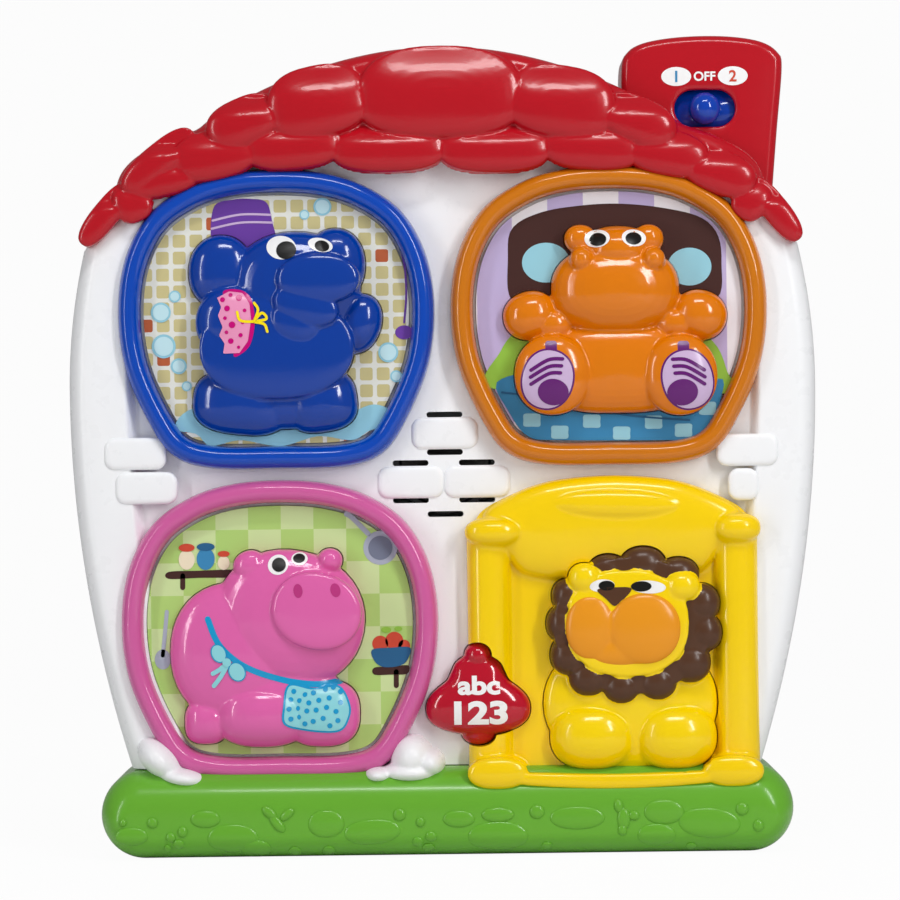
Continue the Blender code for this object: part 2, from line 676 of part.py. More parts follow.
def roof_outline(distance=0.0):
    """Outline of the roof without its tips, seen from the front, drawn in by a distance."""
    crest = both_sides([roof_point(share) for share in CREST_SHARES])
    eave = both_sides([roof_point(share) for share in EAVE_SHARES[::-1]])
    return inset(crest + eave[::-1], distance)


def plinth_outline(distance=0.0):
    """Stadium outline of the plinth, drawn in by a distance at the top and less below."""
    low = distance * PLINTH_LOWER_SHARE
    height = PLINTH_HEIGHT - distance - low
    return stadium(0, low + height / 2, PLINTH_WIDTH - 2 * distance * PLINTH_LOWER_SHARE, height, 8)


def roof_hollow():
    """Outline of the space between the house's top and the roof's shell."""
    crest = both_sides([roof_point(share) for share in CREST_SHARES])
    right, left = crest[0][0], crest[-1][0]
    return inset(crest + [(left, EAVE_TIP), (right, EAVE_TIP)], ROOF_WALL)


def chimney_outline(distance=0.0):
    """Outline of the chimney, drawn in by a distance."""
    points = [(CHIMNEY_LEFT + sx * CHIMNEY_WIDTH, CHIMNEY_TOP - CHIMNEY_HEIGHT + sz * CHIMNEY_HEIGHT)
              for sx, sz in CHIMNEY_OUTLINE_SHARES]
    return inset(points, distance)


def seat_outline(distance=0.0):
    """What shows of the chimney above the tiles in front of it, with room above."""
    base = CHIMNEY_TOP - CHIMNEY_HEIGHT
    low = [(CHIMNEY_LEFT + sx * CHIMNEY_WIDTH, base + sz * CHIMNEY_HEIGHT)
           for sx, sz in CHIMNEY_SEAT_SHARES]
    top = CHIMNEY_TOP + OVERRUN
    return inset(low + [(low[-1][0], top), (low[0][0], top)], distance)


def rounded_body(name, outline_at, y_front, y_back, front_edge=0.0, back_edge=0.0, steps=ROUND_STEPS):
    """Extrude an outline function along Y with its front and back edges rounded over."""
    loops = []
    for edge, y, way, order in ((front_edge, y_front, 1, range(steps + 1)),
                                (back_edge, y_back, -1, range(steps, -1, -1))):
        if not edge:
            loops.append(at_y(outline_at(0.0), y))
            continue
        for i in order:
            turn = math.pi / 2 * i / steps
            loops.append(at_y(outline_at(edge * (1 - math.sin(turn))), y + way * edge * (1 - math.cos(turn))))
    return loft(name, loops)


def pad_relief(name, outline_at, back, front, edge):
    """A raised pad with a rounded rim."""
    return loft(name, [at_y(outline_at(0.0), back), at_y(outline_at(0.0), front + edge),
                       at_y(outline_at(edge / 3), front + edge / 3), at_y(outline_at(edge), front)])


def upright(name, centre_at, half_width, relief_height, base, z_low, z_high, steps, sides=8):
    """A half-round bar along Z whose middle follows centre_at(z) and whose flat back lies on base."""
    loops = []
    for i in range(steps + 1):
        z = z_low + (z_high - z_low) * i / steps
        middle = centre_at(z)
        loop = []
        for k in range(sides + 1):
            turn = math.pi * k / sides
            loop.append((middle + half_width * math.cos(turn), base - relief_height * math.sin(turn), z))
        loops.append(loop)
    return loft(name, loops)


def window_cutter(x, z, distance, y_front, y_back):
    """Cutter in the outline of a window."""
    return prism("cutter", window_outline(x, z, distance), y_front, y_back)


def window_places():
    """Name, x and lowest z of the three windows."""
    return (("elephant", LEFT_WINDOW_X, UPPER_WINDOW_Z), ("hippo", RIGHT_WINDOW_X, UPPER_WINDOW_Z),
            ("pig", LEFT_WINDOW_X, LOWER_WINDOW_Z))


def door_outline(distance=0.0):
    """Outline of the door surround, drawn in by a distance."""
    return inset(smooth_loop(mirrored(DOOR_OUTLINE_SHARES, DOOR_WIDTH, DOOR_HEIGHT, DOOR_X, DOOR_Z), 2),
                 distance)


def door_knobs(extra=0.0):
    """Side, x, z and half axes of the knobs at the columns' heads and feet, and their rise."""
    knobs = []
    for side in (-1, 1):
        x = DOOR_X + side * (DOOR_WIDTH / 2 - COLUMN_WIDTH / 2)
        for height, rise in KNOB_SHARES:
            knobs.append((x + side * COLUMN_WIDTH * 0.05, DOOR_Z + height * DOOR_HEIGHT,
                          CAPITAL_WIDTH / 2 + extra, CAPITAL_HEIGHT / 2 + extra, rise))
    return knobs


def sill_outline(distance=0.0):
    """Outline of the door's sill, drawn in by a distance."""
    return inset(rounded_box(DOOR_X, DOOR_Z + SILL_HEIGHT / 2, DOOR_WIDTH * SILL_SHARE, SILL_HEIGHT,
                             SILL_HEIGHT / 3), distance)


def door_cutters(y_front, y_back):
    """Cutters that clear the door surround, its knobs and its sill."""
    cutters = [prism("cutter", door_outline(-RUN_GAP), y_front, y_back),
               prism("cutter", sill_outline(-RUN_GAP), y_front, y_back)]
    for x, z, rx, rz, _ in door_knobs(RUN_GAP):
        cutters.append(prism("cutter", oval(x, z, rx, rz), y_front, y_back))
    return cutters


def bush_lobes(extra=0.0):
    """Real places and half axes of the bushes' lobes."""
    h = PLINTH_HEIGHT
    return [(sx * h, sz * h, rx * h + extra, rz * h + extra) for sx, sz, rx, rz in BUSH_LOBE_SHARES]


def button_centres():
    """Where each button's stem, pad and contact board lie in the front plane."""
    middle = FRAME_HEIGHT / 2
    return {
        "elephant": (LEFT_WINDOW_X, UPPER_WINDOW_Z + middle),
        "hippo": (RIGHT_WINDOW_X, UPPER_WINDOW_Z + middle),
        "pig": (LEFT_WINDOW_X, LOWER_WINDOW_Z + middle),
        "lion": (LION_CARRIER_X, LION_CARRIER_Z),
        "doorbell": (BELL_X, BELL_Z),
    }


def build_plinth(green, dark):
    """Green plinth: a hollow moulding with stones in relief, closed by a plate below."""
    face = -PLINTH_DEPTH / 2 + STONE_RELIEF
    plinth = rounded_body("base_plinth", plinth_outline, face, PLINTH_DEPTH / 2, PLINTH_EDGE, PLINTH_EDGE)
    stones = []
    for sx, sz, rx, rz in PLINTH_STONE_SHARES:
        stones.append(dome("stone", sx * PLINTH_WIDTH, sz * PLINTH_HEIGHT, rx * PLINTH_WIDTH / 2 * 1.4,
                           rz * PLINTH_HEIGHT, face + WALL, face, face - STONE_RELIEF, SMALL_LOBE_SIDES))
    join(plinth, *stones)
    inner = PLINTH_WIDTH / 2 - PLINTH_HEIGHT / 2 - PLINTH_WALL
    depth = PLINTH_DEPTH / 2 - PLINTH_EDGE - PLINTH_WALL
    pocket_back = FACE_Y
    cut(plinth,
        block("cavity", (-inner, -(abs(FACE_Y) - PLINTH_WALL), -OVERRUN),
              (inner, depth, PLINTH_HEIGHT - PLINTH_WALL)),
        window_cutter(LEFT_WINDOW_X, LOWER_WINDOW_Z, -RUN_GAP, -FAR_Y, pocket_back),
        *door_cutters(-FAR_Y, pocket_back),
        *[prism("cutter", oval(x, z, rx, rz), -FAR_Y, FACE_Y + WALL)
          for x, z, rx, rz in bush_lobes(RUN_GAP)])
    finish(plinth, "base_plinth", green)
    plate = block("base_underside",
                  (-inner + GAP, -(abs(FACE_Y) - PLINTH_WALL) + GAP, GAP),
                  (inner - GAP, depth - GAP, GAP + UNDERSIDE_THICKNESS))
    finish(plate, "base_underside", dark)


def boss(x, z, radius, y_from, y_to):
    """A round post along Y."""
    return lathe("boss", ((radius, y_from), (radius, y_to)), (x, 0, z), sides=POST_SIDES)


def screw_places():
    """Both sides' case screws."""
    return [(side * (house_half_width(z) - inwards), z) for inwards, z in CASE_SCREWS for side in (-1, 1)]


def build_front_shell(white):
    """Front half of the house: pillars, bricks, bushes, windows and screw bosses."""
    shell = rounded_body("front_shell", house_outline, FACE_Y, PARTING_Y, HOUSE_EDGE)
    extras = []
    for side in (-1, 1):
        extras.append(upright("pillar",
                              lambda z, s=side: s * (house_half_width(z) - PILLAR_WIDTH / 2),
                              PILLAR_WIDTH / 2, PILLAR_RELIEF + HOUSE_EDGE, FACE_Y + HOUSE_EDGE,
                              HOUSE_FOOT, EAVE_HEIGHT, SIDE_STEPS))
    for sx, sz in BRICK_SHARES:
        extras.append(brick(SPEAKER_X + sx * BRICK_WIDTH, SPEAKER_Z + sz * BRICK_HEIGHT, BRICK_WIDTH))
    for sx, sz in SIDE_BRICK_SHARES:
        extras.append(brick(sx * SIDE_BRICK_X, SPEAKER_Z + sz * BRICK_HEIGHT, SIDE_BRICK_WIDTH,
                            PILLAR_RELIEF))
    join(shell, *extras)
    clear_y = FACE_Y - GAP / 3
    cut(shell,
        *[window_cutter(x, z, -RUN_GAP, -FAR_Y, clear_y) for _, x, z in window_places()],
        *door_cutters(-FAR_Y, clear_y),
        prism("cutter", roof_outline(-WALL), -FAR_Y, clear_y),
        *[prism("cutter", tile_loop(share, 1.0, RUN_GAP), -FAR_Y, clear_y) for share in ROOF_LEAF_SHARES])
    join(shell, *[dome("bush", x, z, rx, rz, FACE_Y + WALL / 2, FACE_Y - BUSH_RELIEF / 3,
                       FACE_Y - BUSH_RELIEF) for x, z, rx, rz in bush_lobes()])
    cut(shell, rounded_body("cavity", lambda d: house_outline(WALL + d), FACE_Y + WALL, PARTING_Y + OVERRUN,
                            HOUSE_EDGE - WALL))
    holes = [window_cutter(x, z, FRAME_RING + PANEL_MARGIN + LEDGE, -FAR_Y, FACE_Y + OVERRUN)
             for _, x, z in window_places()]
    holes.append(prism("cutter", rounded_box(LION_CARRIER_X, LION_CARRIER_Z,
                                             LION_CARRIER_WIDTH + 2 * CARRIER_CLEARANCE,
                                             LION_CARRIER_HEIGHT + 2 * CARRIER_CLEARANCE,
                                             LION_CARRIER_CORNER), -FAR_Y, FACE_Y + OVERRUN))
    holes += silhouette(BELL_LOBES, RUN_GAP, -FAR_Y, FACE_Y + OVERRUN)
    for sx, sz in SPEAKER_SLOT_SHARES:
        holes.append(prism("cutter", stadium(SPEAKER_X + sx * BRICK_WIDTH, SPEAKER_Z + sz * BRICK_HEIGHT,
                                             SLOT_HOLE_LENGTH, SLOT_HOLE_HEIGHT, 3),
                           -FAR_Y, FACE_Y + OVERRUN))
    cut(shell, *holes)
    posts = [boss(x, z, BOSS_RADIUS, FACE_Y + WALL / 2, PARTING_Y - GAP) for x, z in screw_places()]
    for way in (-1, 1):
        posts.append(boss(MAIN_BOARD_X, MAIN_BOARD_Z + way * MAIN_POST_SPACING / 2, POST_RADIUS,
                          FACE_Y + WALL / 2, MAIN_BOARD_Y - GAP))
    join(shell, *posts)
    bite = PARTING_Y - SCREW_BITE - GAP
    cut(shell, *[boss(x, z, SCREW_SHAFT_RADIUS + GAP, bite, PARTING_Y + OVERRUN) for x, z in screw_places()])
    return finish(shell, "front_shell", white)


def brick(x, z, width, lift=0.0):
    """A raised brick with round corners."""
    radius = BRICK_HEIGHT / 3
    return pad_relief("brick", lambda d: inset(rounded_box(x, z, width, BRICK_HEIGHT, radius), d),
                      FACE_Y + WALL / 2, FACE_Y - BRICK_RELIEF - lift, BRICK_RELIEF * 0.8)


def battery_well():
    """Half width, low z, high z, inner y and outer y of the battery well."""
    half = CELL_LENGTH / 2 + CONTACT_SPACE
    tall = CELL_PITCH * CELL_COUNT / 2
    outer = BACK_Y - DOOR_PLATE_THICKNESS - GAP
    inner = outer - 2 * CELL_RADIUS - 2 * GAP
    return half, BATTERY_Z - tall, BATTERY_Z + tall, inner, outer


def build_rear_cover(white):
    """Rear half of the house with the battery well, screw bosses and the boards' posts."""
    front = PARTING_Y + GAP
    cover = rounded_body("rear_cover", house_outline, front, BACK_Y, 0.0, HOUSE_EDGE)
    cut(cover, rounded_body("cavity", lambda d: house_outline(WALL + d), front - OVERRUN, BACK_Y - WALL,
                            0.0, HOUSE_EDGE - WALL))
    half, low, high, inner, outer = battery_well()
    rim = DOOR_REBATE
    box = block("well", (-half - rim - WALL, inner - WALL, low - rim - WALL),
                (half + rim + WALL, BACK_Y - WALL / 2, high + DOOR_HEAD + WALL))
    solids = [box]
    for x, z in screw_places():
        solids.append(boss(x, z, BOSS_RADIUS, front, BACK_Y - WALL / 2))
    for x, z in button_centres().values():
        solids.append(boss(x, z, POST_RADIUS, CONTACT_BOARD_Y + BOARD_THICKNESS + GAP, BACK_Y - WALL / 2))
    join(cover, *solids)
    cuts = [block("cutter", (-half, inner, low), (half, BACK_Y + OVERRUN, high)),
            block("cutter", (-half - rim, outer, low - rim), (half + rim, BACK_Y + OVERRUN, high + DOOR_HEAD)),
            boss(0, high + DOOR_HEAD / 2, BATTERY_SCREW_RADIUS / 2 + GAP,
                 outer - BATTERY_SCREW_LENGTH, BACK_Y + OVERRUN)]
    for x, z in screw_places():
        cuts.append(boss(x, z, SCREW_SHAFT_RADIUS + GAP, front - OVERRUN, BACK_Y + OVERRUN))
        cuts.append(boss(x, z, SCREW_HEAD_RADIUS + GAP, BACK_Y - SCREW_RECESS, BACK_Y + OVERRUN))
    cut(cover, *cuts)
    return finish(cover, "rear_cover", white)


def build_roof(red):
    """Red roof: a hollow cap with puffy tiles on its front."""
    roof = prism("roof", roof_outline(), ROOF_FRONT_Y, ROOF_BACK_Y)
    tiles = [tile(share, ROOF_FRONT_Y + WALL) for share in ROOF_TILE_SHARES]
    tiles += [tile(share, ROOF_BACK_Y - ROOF_WALL) for share in ROOF_LEAF_SHARES]
    for puff in tiles:
        join(roof, puff)
    inside = FACE_Y - GAP
    cutters = [prism("cavity", roof_hollow(), inside, ROOF_BACK_Y - ROOF_WALL),
               prism("cutter", house_outline(-GAP), inside, FAR_Y),
               prism("cutter", chimney_outline(-GAP), inside, CHIMNEY_BACK_Y + GAP),
               prism("cutter", seat_outline(), -FAR_Y, FACE_Y)]
    cutters += [window_cutter(x, z, -RUN_GAP, -FAR_Y, FACE_Y) for _, x, z in window_places()[:2]]
    for cutter in cutters:
        cut(roof, cutter)
    return finish(roof, "roof", red)


def build_chimney(red, dark, blue):
    """Chimney with its slide switch: housing, back plate, switch body and knob."""
    chimney = rounded_body("chimney", chimney_outline, CHIMNEY_FRONT_Y, CHIMNEY_BACK_Y, CHIMNEY_EDGE)
    cut(chimney, prism("cutter", house_outline(-GAP), -FAR_Y, FAR_Y))
    cavity = prism("cavity", chimney_outline(CHIMNEY_WALL), CHIMNEY_FRONT_Y + CHIMNEY_WALL,
                   CHIMNEY_BACK_Y + OVERRUN)
    cut(cavity, prism("cutter", house_outline(-GAP - CHIMNEY_WALL), -FAR_Y, FAR_Y))
    slot = prism("slot", stadium(SLOT_X, SLOT_Z, SLOT_LENGTH, SLOT_HEIGHT), -FAR_Y,
                 CHIMNEY_FRONT_Y + CHIMNEY_WALL + OVERRUN / 2)
    cut(chimney, cavity, slot)
    finish(chimney, "chimney", red)
    plate_front = CHIMNEY_BACK_Y - CHIMNEY_COVER
    plate = prism("plate", chimney_outline(CHIMNEY_WALL + GAP), plate_front, CHIMNEY_BACK_Y)
    cut(plate, prism("cutter", house_outline(-2 * GAP - CHIMNEY_WALL), -FAR_Y, FAR_Y))
    slider_front = CHIMNEY_FRONT_Y + CHIMNEY_WALL + GAP
    slider_back = slider_front + SLIDER_THICKNESS
    body_front = slider_back + GAP
    body_back = body_front + SWITCH_DEPTH
    join(plate, *[boss(SLOT_X + way * SWITCH_POST_SPACING / 2, SLOT_Z, SWITCH_POST_RADIUS,
                       body_back + GAP, plate_front + CHIMNEY_COVER / 2) for way in (-1, 1)])
    finish(plate, "chimney_back_plate", red)
    body = block("slide_switch_body",
                 (SLOT_X - SWITCH_LENGTH / 2, body_front, SLOT_Z - SWITCH_HEIGHT / 2),
                 (SLOT_X + SWITCH_LENGTH / 2, body_back, SLOT_Z + SWITCH_HEIGHT / 2), GAP)
    finish(body, "slide_switch_body", dark)
    knob_y = slider_front - KNOB_RADIUS / 2
    last = math.acos(-(slider_front + SLIDER_THICKNESS / 2 - knob_y) / KNOB_RADIUS)
    ball = []
    for i in range(1, ROUND_SIDES // 2):
        turn = last * i / (ROUND_SIDES // 2 - 1)
        ball.append((KNOB_RADIUS * math.sin(turn), knob_y - KNOB_RADIUS * math.cos(turn)))
    knob = lathe("switch_knob", ball, (SLOT_X, 0, SLOT_Z), sides=16)
    join(knob, block("slider", (SLOT_X - SLIDER_LENGTH / 2, slider_front, SLOT_Z - SLIDER_HEIGHT / 2),
                     (SLOT_X + SLIDER_LENGTH / 2, slider_back, SLOT_Z + SLIDER_HEIGHT / 2)))
    finish(knob, "switch_knob", blue, 50)
    set_origin(knob, (SLOT_X, knob_y, SLOT_Z))


def build_frame(name, x, z, colour):
    """A moulded window frame with a rounded section."""
    back = FACE_Y - GAP
    section = ((0.0, 0.0), (0.0, 0.62), (0.16, 0.90), (0.50, 1.0), (0.84, 0.90), (1.0, 0.62), (1.0, 0.0))
    loops = [at_y(window_outline(x, z, across * FRAME_RING), back - out * FRAME_RELIEF)
             for across, out in section]
    ring = loft(name, loops, closed=True)
    if name.startswith("pig"):
        cut(ring, *[prism("cutter", oval(bx, bz, rx, rz), -FAR_Y, FAR_Y)
                    for bx, bz, rx, rz in bush_lobes(RUN_GAP)])
    return finish(ring, name, colour, 60)


def build_panel(name, x, z, lobes, colour):
    """The picture panel of a window, with a hole in the animal's outline."""
    panel = prism(name, window_outline(x, z, FRAME_RING + PANEL_MARGIN), PANEL_FRONT_Y, PANEL_BACK_Y)
    keep_largest(cut(panel, *silhouette(lobes, RUN_GAP, -FAR_Y, FAR_Y)))
    return finish(panel, name, colour)


def build_door_surround(yellow):
    """Yellow door: columns with knobs, pediment, niche and sill round the lion."""
    back = FACE_Y - GAP
    door = prism("door_surround", door_outline(), back - DOOR_BACK, back)
    reach = DOOR_WIDTH / 2 - COLUMN_WIDTH / 2 - COLUMN_INSET
    solids = []
    for side in (-1, 1):
        x = DOOR_X + side * reach
        solids.append(upright("column", lambda z, m=x: m, COLUMN_WIDTH / 2, COLUMN_RELIEF, back - GAP,
                              DOOR_Z + SILL_HEIGHT, DOOR_Z + DOOR_HEIGHT - PEDIMENT_HEIGHT, 1))
    for x, z, rx, rz, rise in door_knobs():
        solids.append(dome("knob", x, z, rx, rz, back - GAP, back - COLUMN_RELIEF / 2,
                           back - COLUMN_RELIEF * rise))
    top = DOOR_Z + DOOR_HEIGHT - PEDIMENT_HEIGHT / 2
    solids.append(dome("pediment", DOOR_X, top, DOOR_WIDTH * PEDIMENT_SHARE, PEDIMENT_HEIGHT * 0.46, back - GAP,
                       back - DOOR_BACK, back - PEDIMENT_RELIEF, 24))
    solids.append(dome("lens", DOOR_X, top, DOOR_WIDTH * 0.19, PEDIMENT_HEIGHT * 0.24, back - GAP,
                       back - PEDIMENT_RELIEF * 0.9, back - PEDIMENT_RELIEF * 1.25, 20))
    solids.append(pad_relief("sill", sill_outline, back - GAP, back - COLUMN_RELIEF, SILL_HEIGHT / 4))
    join(door, *solids)
    keep_largest(cut(door, *silhouette(LION_LOBES, RUN_GAP, -FAR_Y, FAR_Y),
                     *silhouette(BELL_LOBES, RUN_GAP, -FAR_Y, FAR_Y)))
    return finish(door, "door_surround", yellow, 40)


def build_buttons(colours):
    """The four animals and the bell, each with its pad and contact board."""
    margin = FRAME_RING + PANEL_MARGIN + LEDGE + CARRIER_CLEARANCE
    centres = button_centres()
    lobes = {"elephant": ELEPHANT_LOBES, "hippo": HIPPO_LOBES, "pig": PIG_LOBES}
    for name, x, z in window_places():
        obj = button(name + "_button", lobes[name], window_outline(x, z, margin, 1), centres[name], RELIEF,
                     CARRIER_FRONT_Y, PANEL_FRONT_Y)
        finish(obj, name + "_button", colours[name], 50)
    lion = button("lion_button", LION_LOBES,
                  rounded_box(LION_CARRIER_X, LION_CARRIER_Z, LION_CARRIER_WIDTH, LION_CARRIER_HEIGHT,
                              LION_CARRIER_CORNER), centres["lion"], RELIEF, CARRIER_FRONT_Y, PANEL_FRONT_Y)
    low = FACE_Y - GAP - PRESS_TRAVEL
    cut(lion, block("cutter", (-FAR_Y, low, -FAR_Y), (FAR_Y, FAR_Y, LION_FOOT_CLEAR)))
    finish(lion, "lion_button", colours["lion"], 50)
    bell = button("doorbell_button", BELL_LOBES,
                  rounded_box(BELL_X, BELL_Z, BELL_CARRIER_WIDTH, BELL_CARRIER_HEIGHT, LION_CARRIER_CORNER),
                  centres["doorbell"], BELL_RELIEF, FACE_Y + WALL + GAP, FACE_Y)
    finish(bell, "doorbell_button", colours["doorbell"], 50)
    for name, (x, z) in centres.items():
        piece = bpy.data.objects[name + "_button"]
        set_origin(piece, (x, CARRIER_FRONT_Y, z))
        pad_back = CONTACT_BOARD_Y - GAP
        pad = lathe(name + "_pad", ((PAD_RADIUS, pad_back - PAD_HEIGHT), (PAD_RADIUS, pad_back)), (x, 0, z))
        finish(pad, name + "_return_pad", colours["pad"])
        board = block(name + "_contact_board",
                      (x - CONTACT_BOARD_WIDTH / 2, CONTACT_BOARD_Y, z - CONTACT_BOARD_HEIGHT / 2),
                      (x + CONTACT_BOARD_WIDTH / 2, CONTACT_BOARD_Y + BOARD_THICKNESS,
                       z + CONTACT_BOARD_HEIGHT / 2))
        finish(board, name + "_contact_board", colours["board"])


def button(name, lobes, carrier, centre, height, carrier_front, base):
    """A press button: domed front, carrier plate behind the wall and a stem to its pad."""
    carrier_back = carrier_front + CARRIER_THICKNESS
    inside = carrier_front + CARRIER_THICKNESS / 2
    obj = relief(name, lobes, inside, base, height)
    stem_end = CONTACT_BOARD_Y - GAP - PAD_HEIGHT - GAP
    return join(obj, prism("plate", carrier, carrier_front, carrier_back),
                boss(centre[0], centre[1], STEM_RADIUS, inside, stem_end))


def build_electronics(board_green, black, steel, paper):
    """Main board and loudspeaker behind the slots."""
    board = block("main_circuit_board",
                  (MAIN_BOARD_X - MAIN_BOARD_WIDTH / 2, MAIN_BOARD_Y, MAIN_BOARD_Z - MAIN_BOARD_HEIGHT / 2),
                  (MAIN_BOARD_X + MAIN_BOARD_WIDTH / 2, MAIN_BOARD_Y + BOARD_THICKNESS,
                   MAIN_BOARD_Z + MAIN_BOARD_HEIGHT / 2))
    finish(board, "main_circuit_board", board_green)
    front = FACE_Y + WALL + GAP
    back = front + SPEAKER_DEPTH
    centre = (SPEAKER_X, 0, SPEAKER_Z)
    basket = lathe("speaker_basket", ((SPEAKER_RADIUS, front), (SPEAKER_RADIUS, front + SPEAKER_FLANGE),
                                      (SPEAKER_BOWL_RADIUS + SPEAKER_WALL, back),
                                      (SPEAKER_WALL, back)), centre, sides=20)
    hollow = lathe("hollow", ((CONE_RADIUS + SPEAKER_WALL, front - OVERRUN),
                              (CONE_RADIUS + SPEAKER_WALL, front + SPEAKER_FLANGE - GAP),
                              (SPEAKER_BOWL_RADIUS, back - SPEAKER_WALL)), centre, sides=20)
    cut(basket, hollow)
    finish(basket, "speaker_basket", steel)
    dish = SPEAKER_DEPTH - SPEAKER_WALL - GAP
    cone = lathe("speaker_cone", ((CONE_RADIUS, front + GAP), (CONE_RADIUS, front + SPEAKER_FLANGE - 2 * GAP),
                                  (SPEAKER_BOWL_RADIUS - 2 * GAP, front + dish)), centre, sides=20)
    cut(cone, lathe("dish", ((CONE_RADIUS - SPEAKER_WALL, front - OVERRUN),
                             (CONE_RADIUS - SPEAKER_WALL, front + 2 * GAP),
                             (SPEAKER_WALL, front + dish / 2)), centre, sides=20))
    finish(cone, "speaker_cone", paper)
    magnet = lathe("speaker_magnet", ((MAGNET_RADIUS, back + GAP), (MAGNET_RADIUS, back + GAP + MAGNET_DEPTH)),
                   centre, sides=20)
    finish(magnet, "speaker_magnet", black)


def build_batteries(colours, steel, white):
    """Cells, contact plates, battery door and its screw."""
    half, low, high, inner, outer = battery_well()
    y = inner + GAP + CELL_RADIUS
    for i in range(CELL_COUNT):
        z = low + CELL_PITCH * (i + 0.5)
        way = -1 if i % 2 else 1
        reach = CELL_LENGTH / 2
        cell = lathe("cell", ((CELL_RADIUS, -reach * way), (CELL_RADIUS, (reach - CELL_NUB) * way),
                              (CELL_NUB_RADIUS, (reach - CELL_NUB) * way), (CELL_NUB_RADIUS, reach * way)),
                     (0, y, z), axis="X", sides=16)
        finish(cell, f"battery_{i + 1}", colours["cell"])
    for side, name in ((-1, "left"), (1, "right")):
        wall = side * (half - GAP)
        ends = sorted((wall, wall - side * CONTACT_THICKNESS))
        plate = block(f"battery_contacts_{name}", (ends[0], inner + GAP, low + GAP),
                      (ends[1], outer - 2 * GAP, high - GAP))
        bumps = []
        for i in range(CELL_COUNT):
            tip = side * (CELL_LENGTH / 2 + GAP)
            start = wall - side * CONTACT_THICKNESS / 2
            bumps.append(lathe("bump", ((CELL_RADIUS * 0.55, start), (CELL_NUB_RADIUS * 0.8, tip)),
                               (0, y, low + CELL_PITCH * (i + 0.5)), axis="X"))
        join(plate, *bumps)
        finish(plate, f"battery_contacts_{name}", steel)
    rim = DOOR_REBATE
    door = block("battery_door", (-half - rim + GAP, outer + GAP, low - rim + GAP),
                 (half + rim - GAP, BACK_Y, high + DOOR_HEAD - GAP))
    place = (0, high + DOOR_HEAD / 2)
    head = BATTERY_SCREW_RADIUS
    cut(door, boss(*place, head / 2 + GAP, -FAR_Y, FAR_Y),
        boss(*place, head + GAP, BACK_Y - DOOR_PLATE_THICKNESS / 2, FAR_Y))
    finish(door, "battery_door", white)
    screw = lathe("battery_door_screw",
                  ((head / 2, outer - BATTERY_SCREW_LENGTH + GAP),
                   (head / 2, BACK_Y - DOOR_PLATE_THICKNESS / 2 + GAP),
                   (head, BACK_Y - DOOR_PLATE_THICKNESS / 2 + GAP), (head, BACK_Y - GAP)),
                  (place[0], 0, place[1]))
    finish(screw, "battery_door_screw", steel)


def build_case_screws(steel):
    """Six screws that hold the rear cover to the front shell."""
    for number, (x, z) in enumerate(screw_places(), 1):
        seat = BACK_Y - SCREW_RECESS + GAP
        screw = lathe("screw", ((SCREW_SHAFT_RADIUS, PARTING_Y - SCREW_BITE), (SCREW_SHAFT_RADIUS, seat),
                                (SCREW_HEAD_RADIUS, seat), (SCREW_HEAD_RADIUS, seat + SCREW_HEAD)),
                      (x, 0, z))
        finish(screw, f"case_screw_{number}", steel)


def main():
    """Build the whole toy."""
    clear_scene()
    white = material("house_white", (0.86, 0.86, 0.85), 0.28)
    red = material("roof_red", (0.62, 0.02, 0.04), 0.22)
    green = material("plinth_green", (0.22, 0.50, 0.09), 0.3)
    blue = material("elephant_blue", (0.0, 0.06, 0.48), 0.2)
    orange = material("hippo_orange", (0.86, 0.26, 0.01), 0.22)
    pink = material("pig_pink", (0.80, 0.15, 0.45), 0.22)
    yellow = material("lion_yellow", (0.93, 0.68, 0.0), 0.22)
    bell_red = material("bell_red", (0.52, 0.01, 0.04), 0.2)
    panel = material("panel_print", (0.80, 0.78, 0.66), 0.4)
    board = material("board_green", (0.05, 0.28, 0.12), 0.5)
    dark = material("dark_plastic", (0.03, 0.03, 0.035), 0.4)
    rubber = material("pad_rubber", (0.30, 0.30, 0.30), 0.8)
    steel = material("bright_steel", (0.55, 0.55, 0.56), 0.3, 1.0)
    paper = material("cone_paper", (0.10, 0.10, 0.10), 0.9)
    cell = material("cell_wrap", (0.08, 0.08, 0.09), 0.35)
    build_plinth(green, dark)
    build_front_shell(white)
    build_rear_cover(white)
    build_roof(red)
    build_chimney(red, dark, blue)
    frames = {"elephant": blue, "hippo": orange, "pig": pink}
    lobes = {"elephant": ELEPHANT_LOBES, "hippo": HIPPO_LOBES, "pig": PIG_LOBES}
    for name, x, z in window_places():
        build_frame(name + "_window_frame", x, z, frames[name])
        build_panel(name + "_picture_panel", x, z, lobes[name], panel)
    build_door_surround(yellow)
    build_buttons({"elephant": blue, "hippo": orange, "pig": pink, "lion": yellow, "doorbell": bell_red,
                   "pad": rubber, "board": board})
    build_electronics(board, dark, steel, paper)
    build_batteries({"cell": cell}, steel, white)
    build_case_screws(steel)


main()
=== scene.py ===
"""Looks of the talking activity house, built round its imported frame.

Lengths are in metres, +Z is up and the front of the house faces -Y. Each sub-assembly is a
class that builds its own pieces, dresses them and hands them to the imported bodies.
"""

import json
import logging
import math
from dataclasses import dataclass, field
from enum import Enum
from functools import partial
from typing import Callable, Iterable, Optional, Sequence

import bmesh
import bpy
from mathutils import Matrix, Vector
from mathutils.bvhtree import BVHTree
from mathutils.geometry import delaunay_2d_cdt


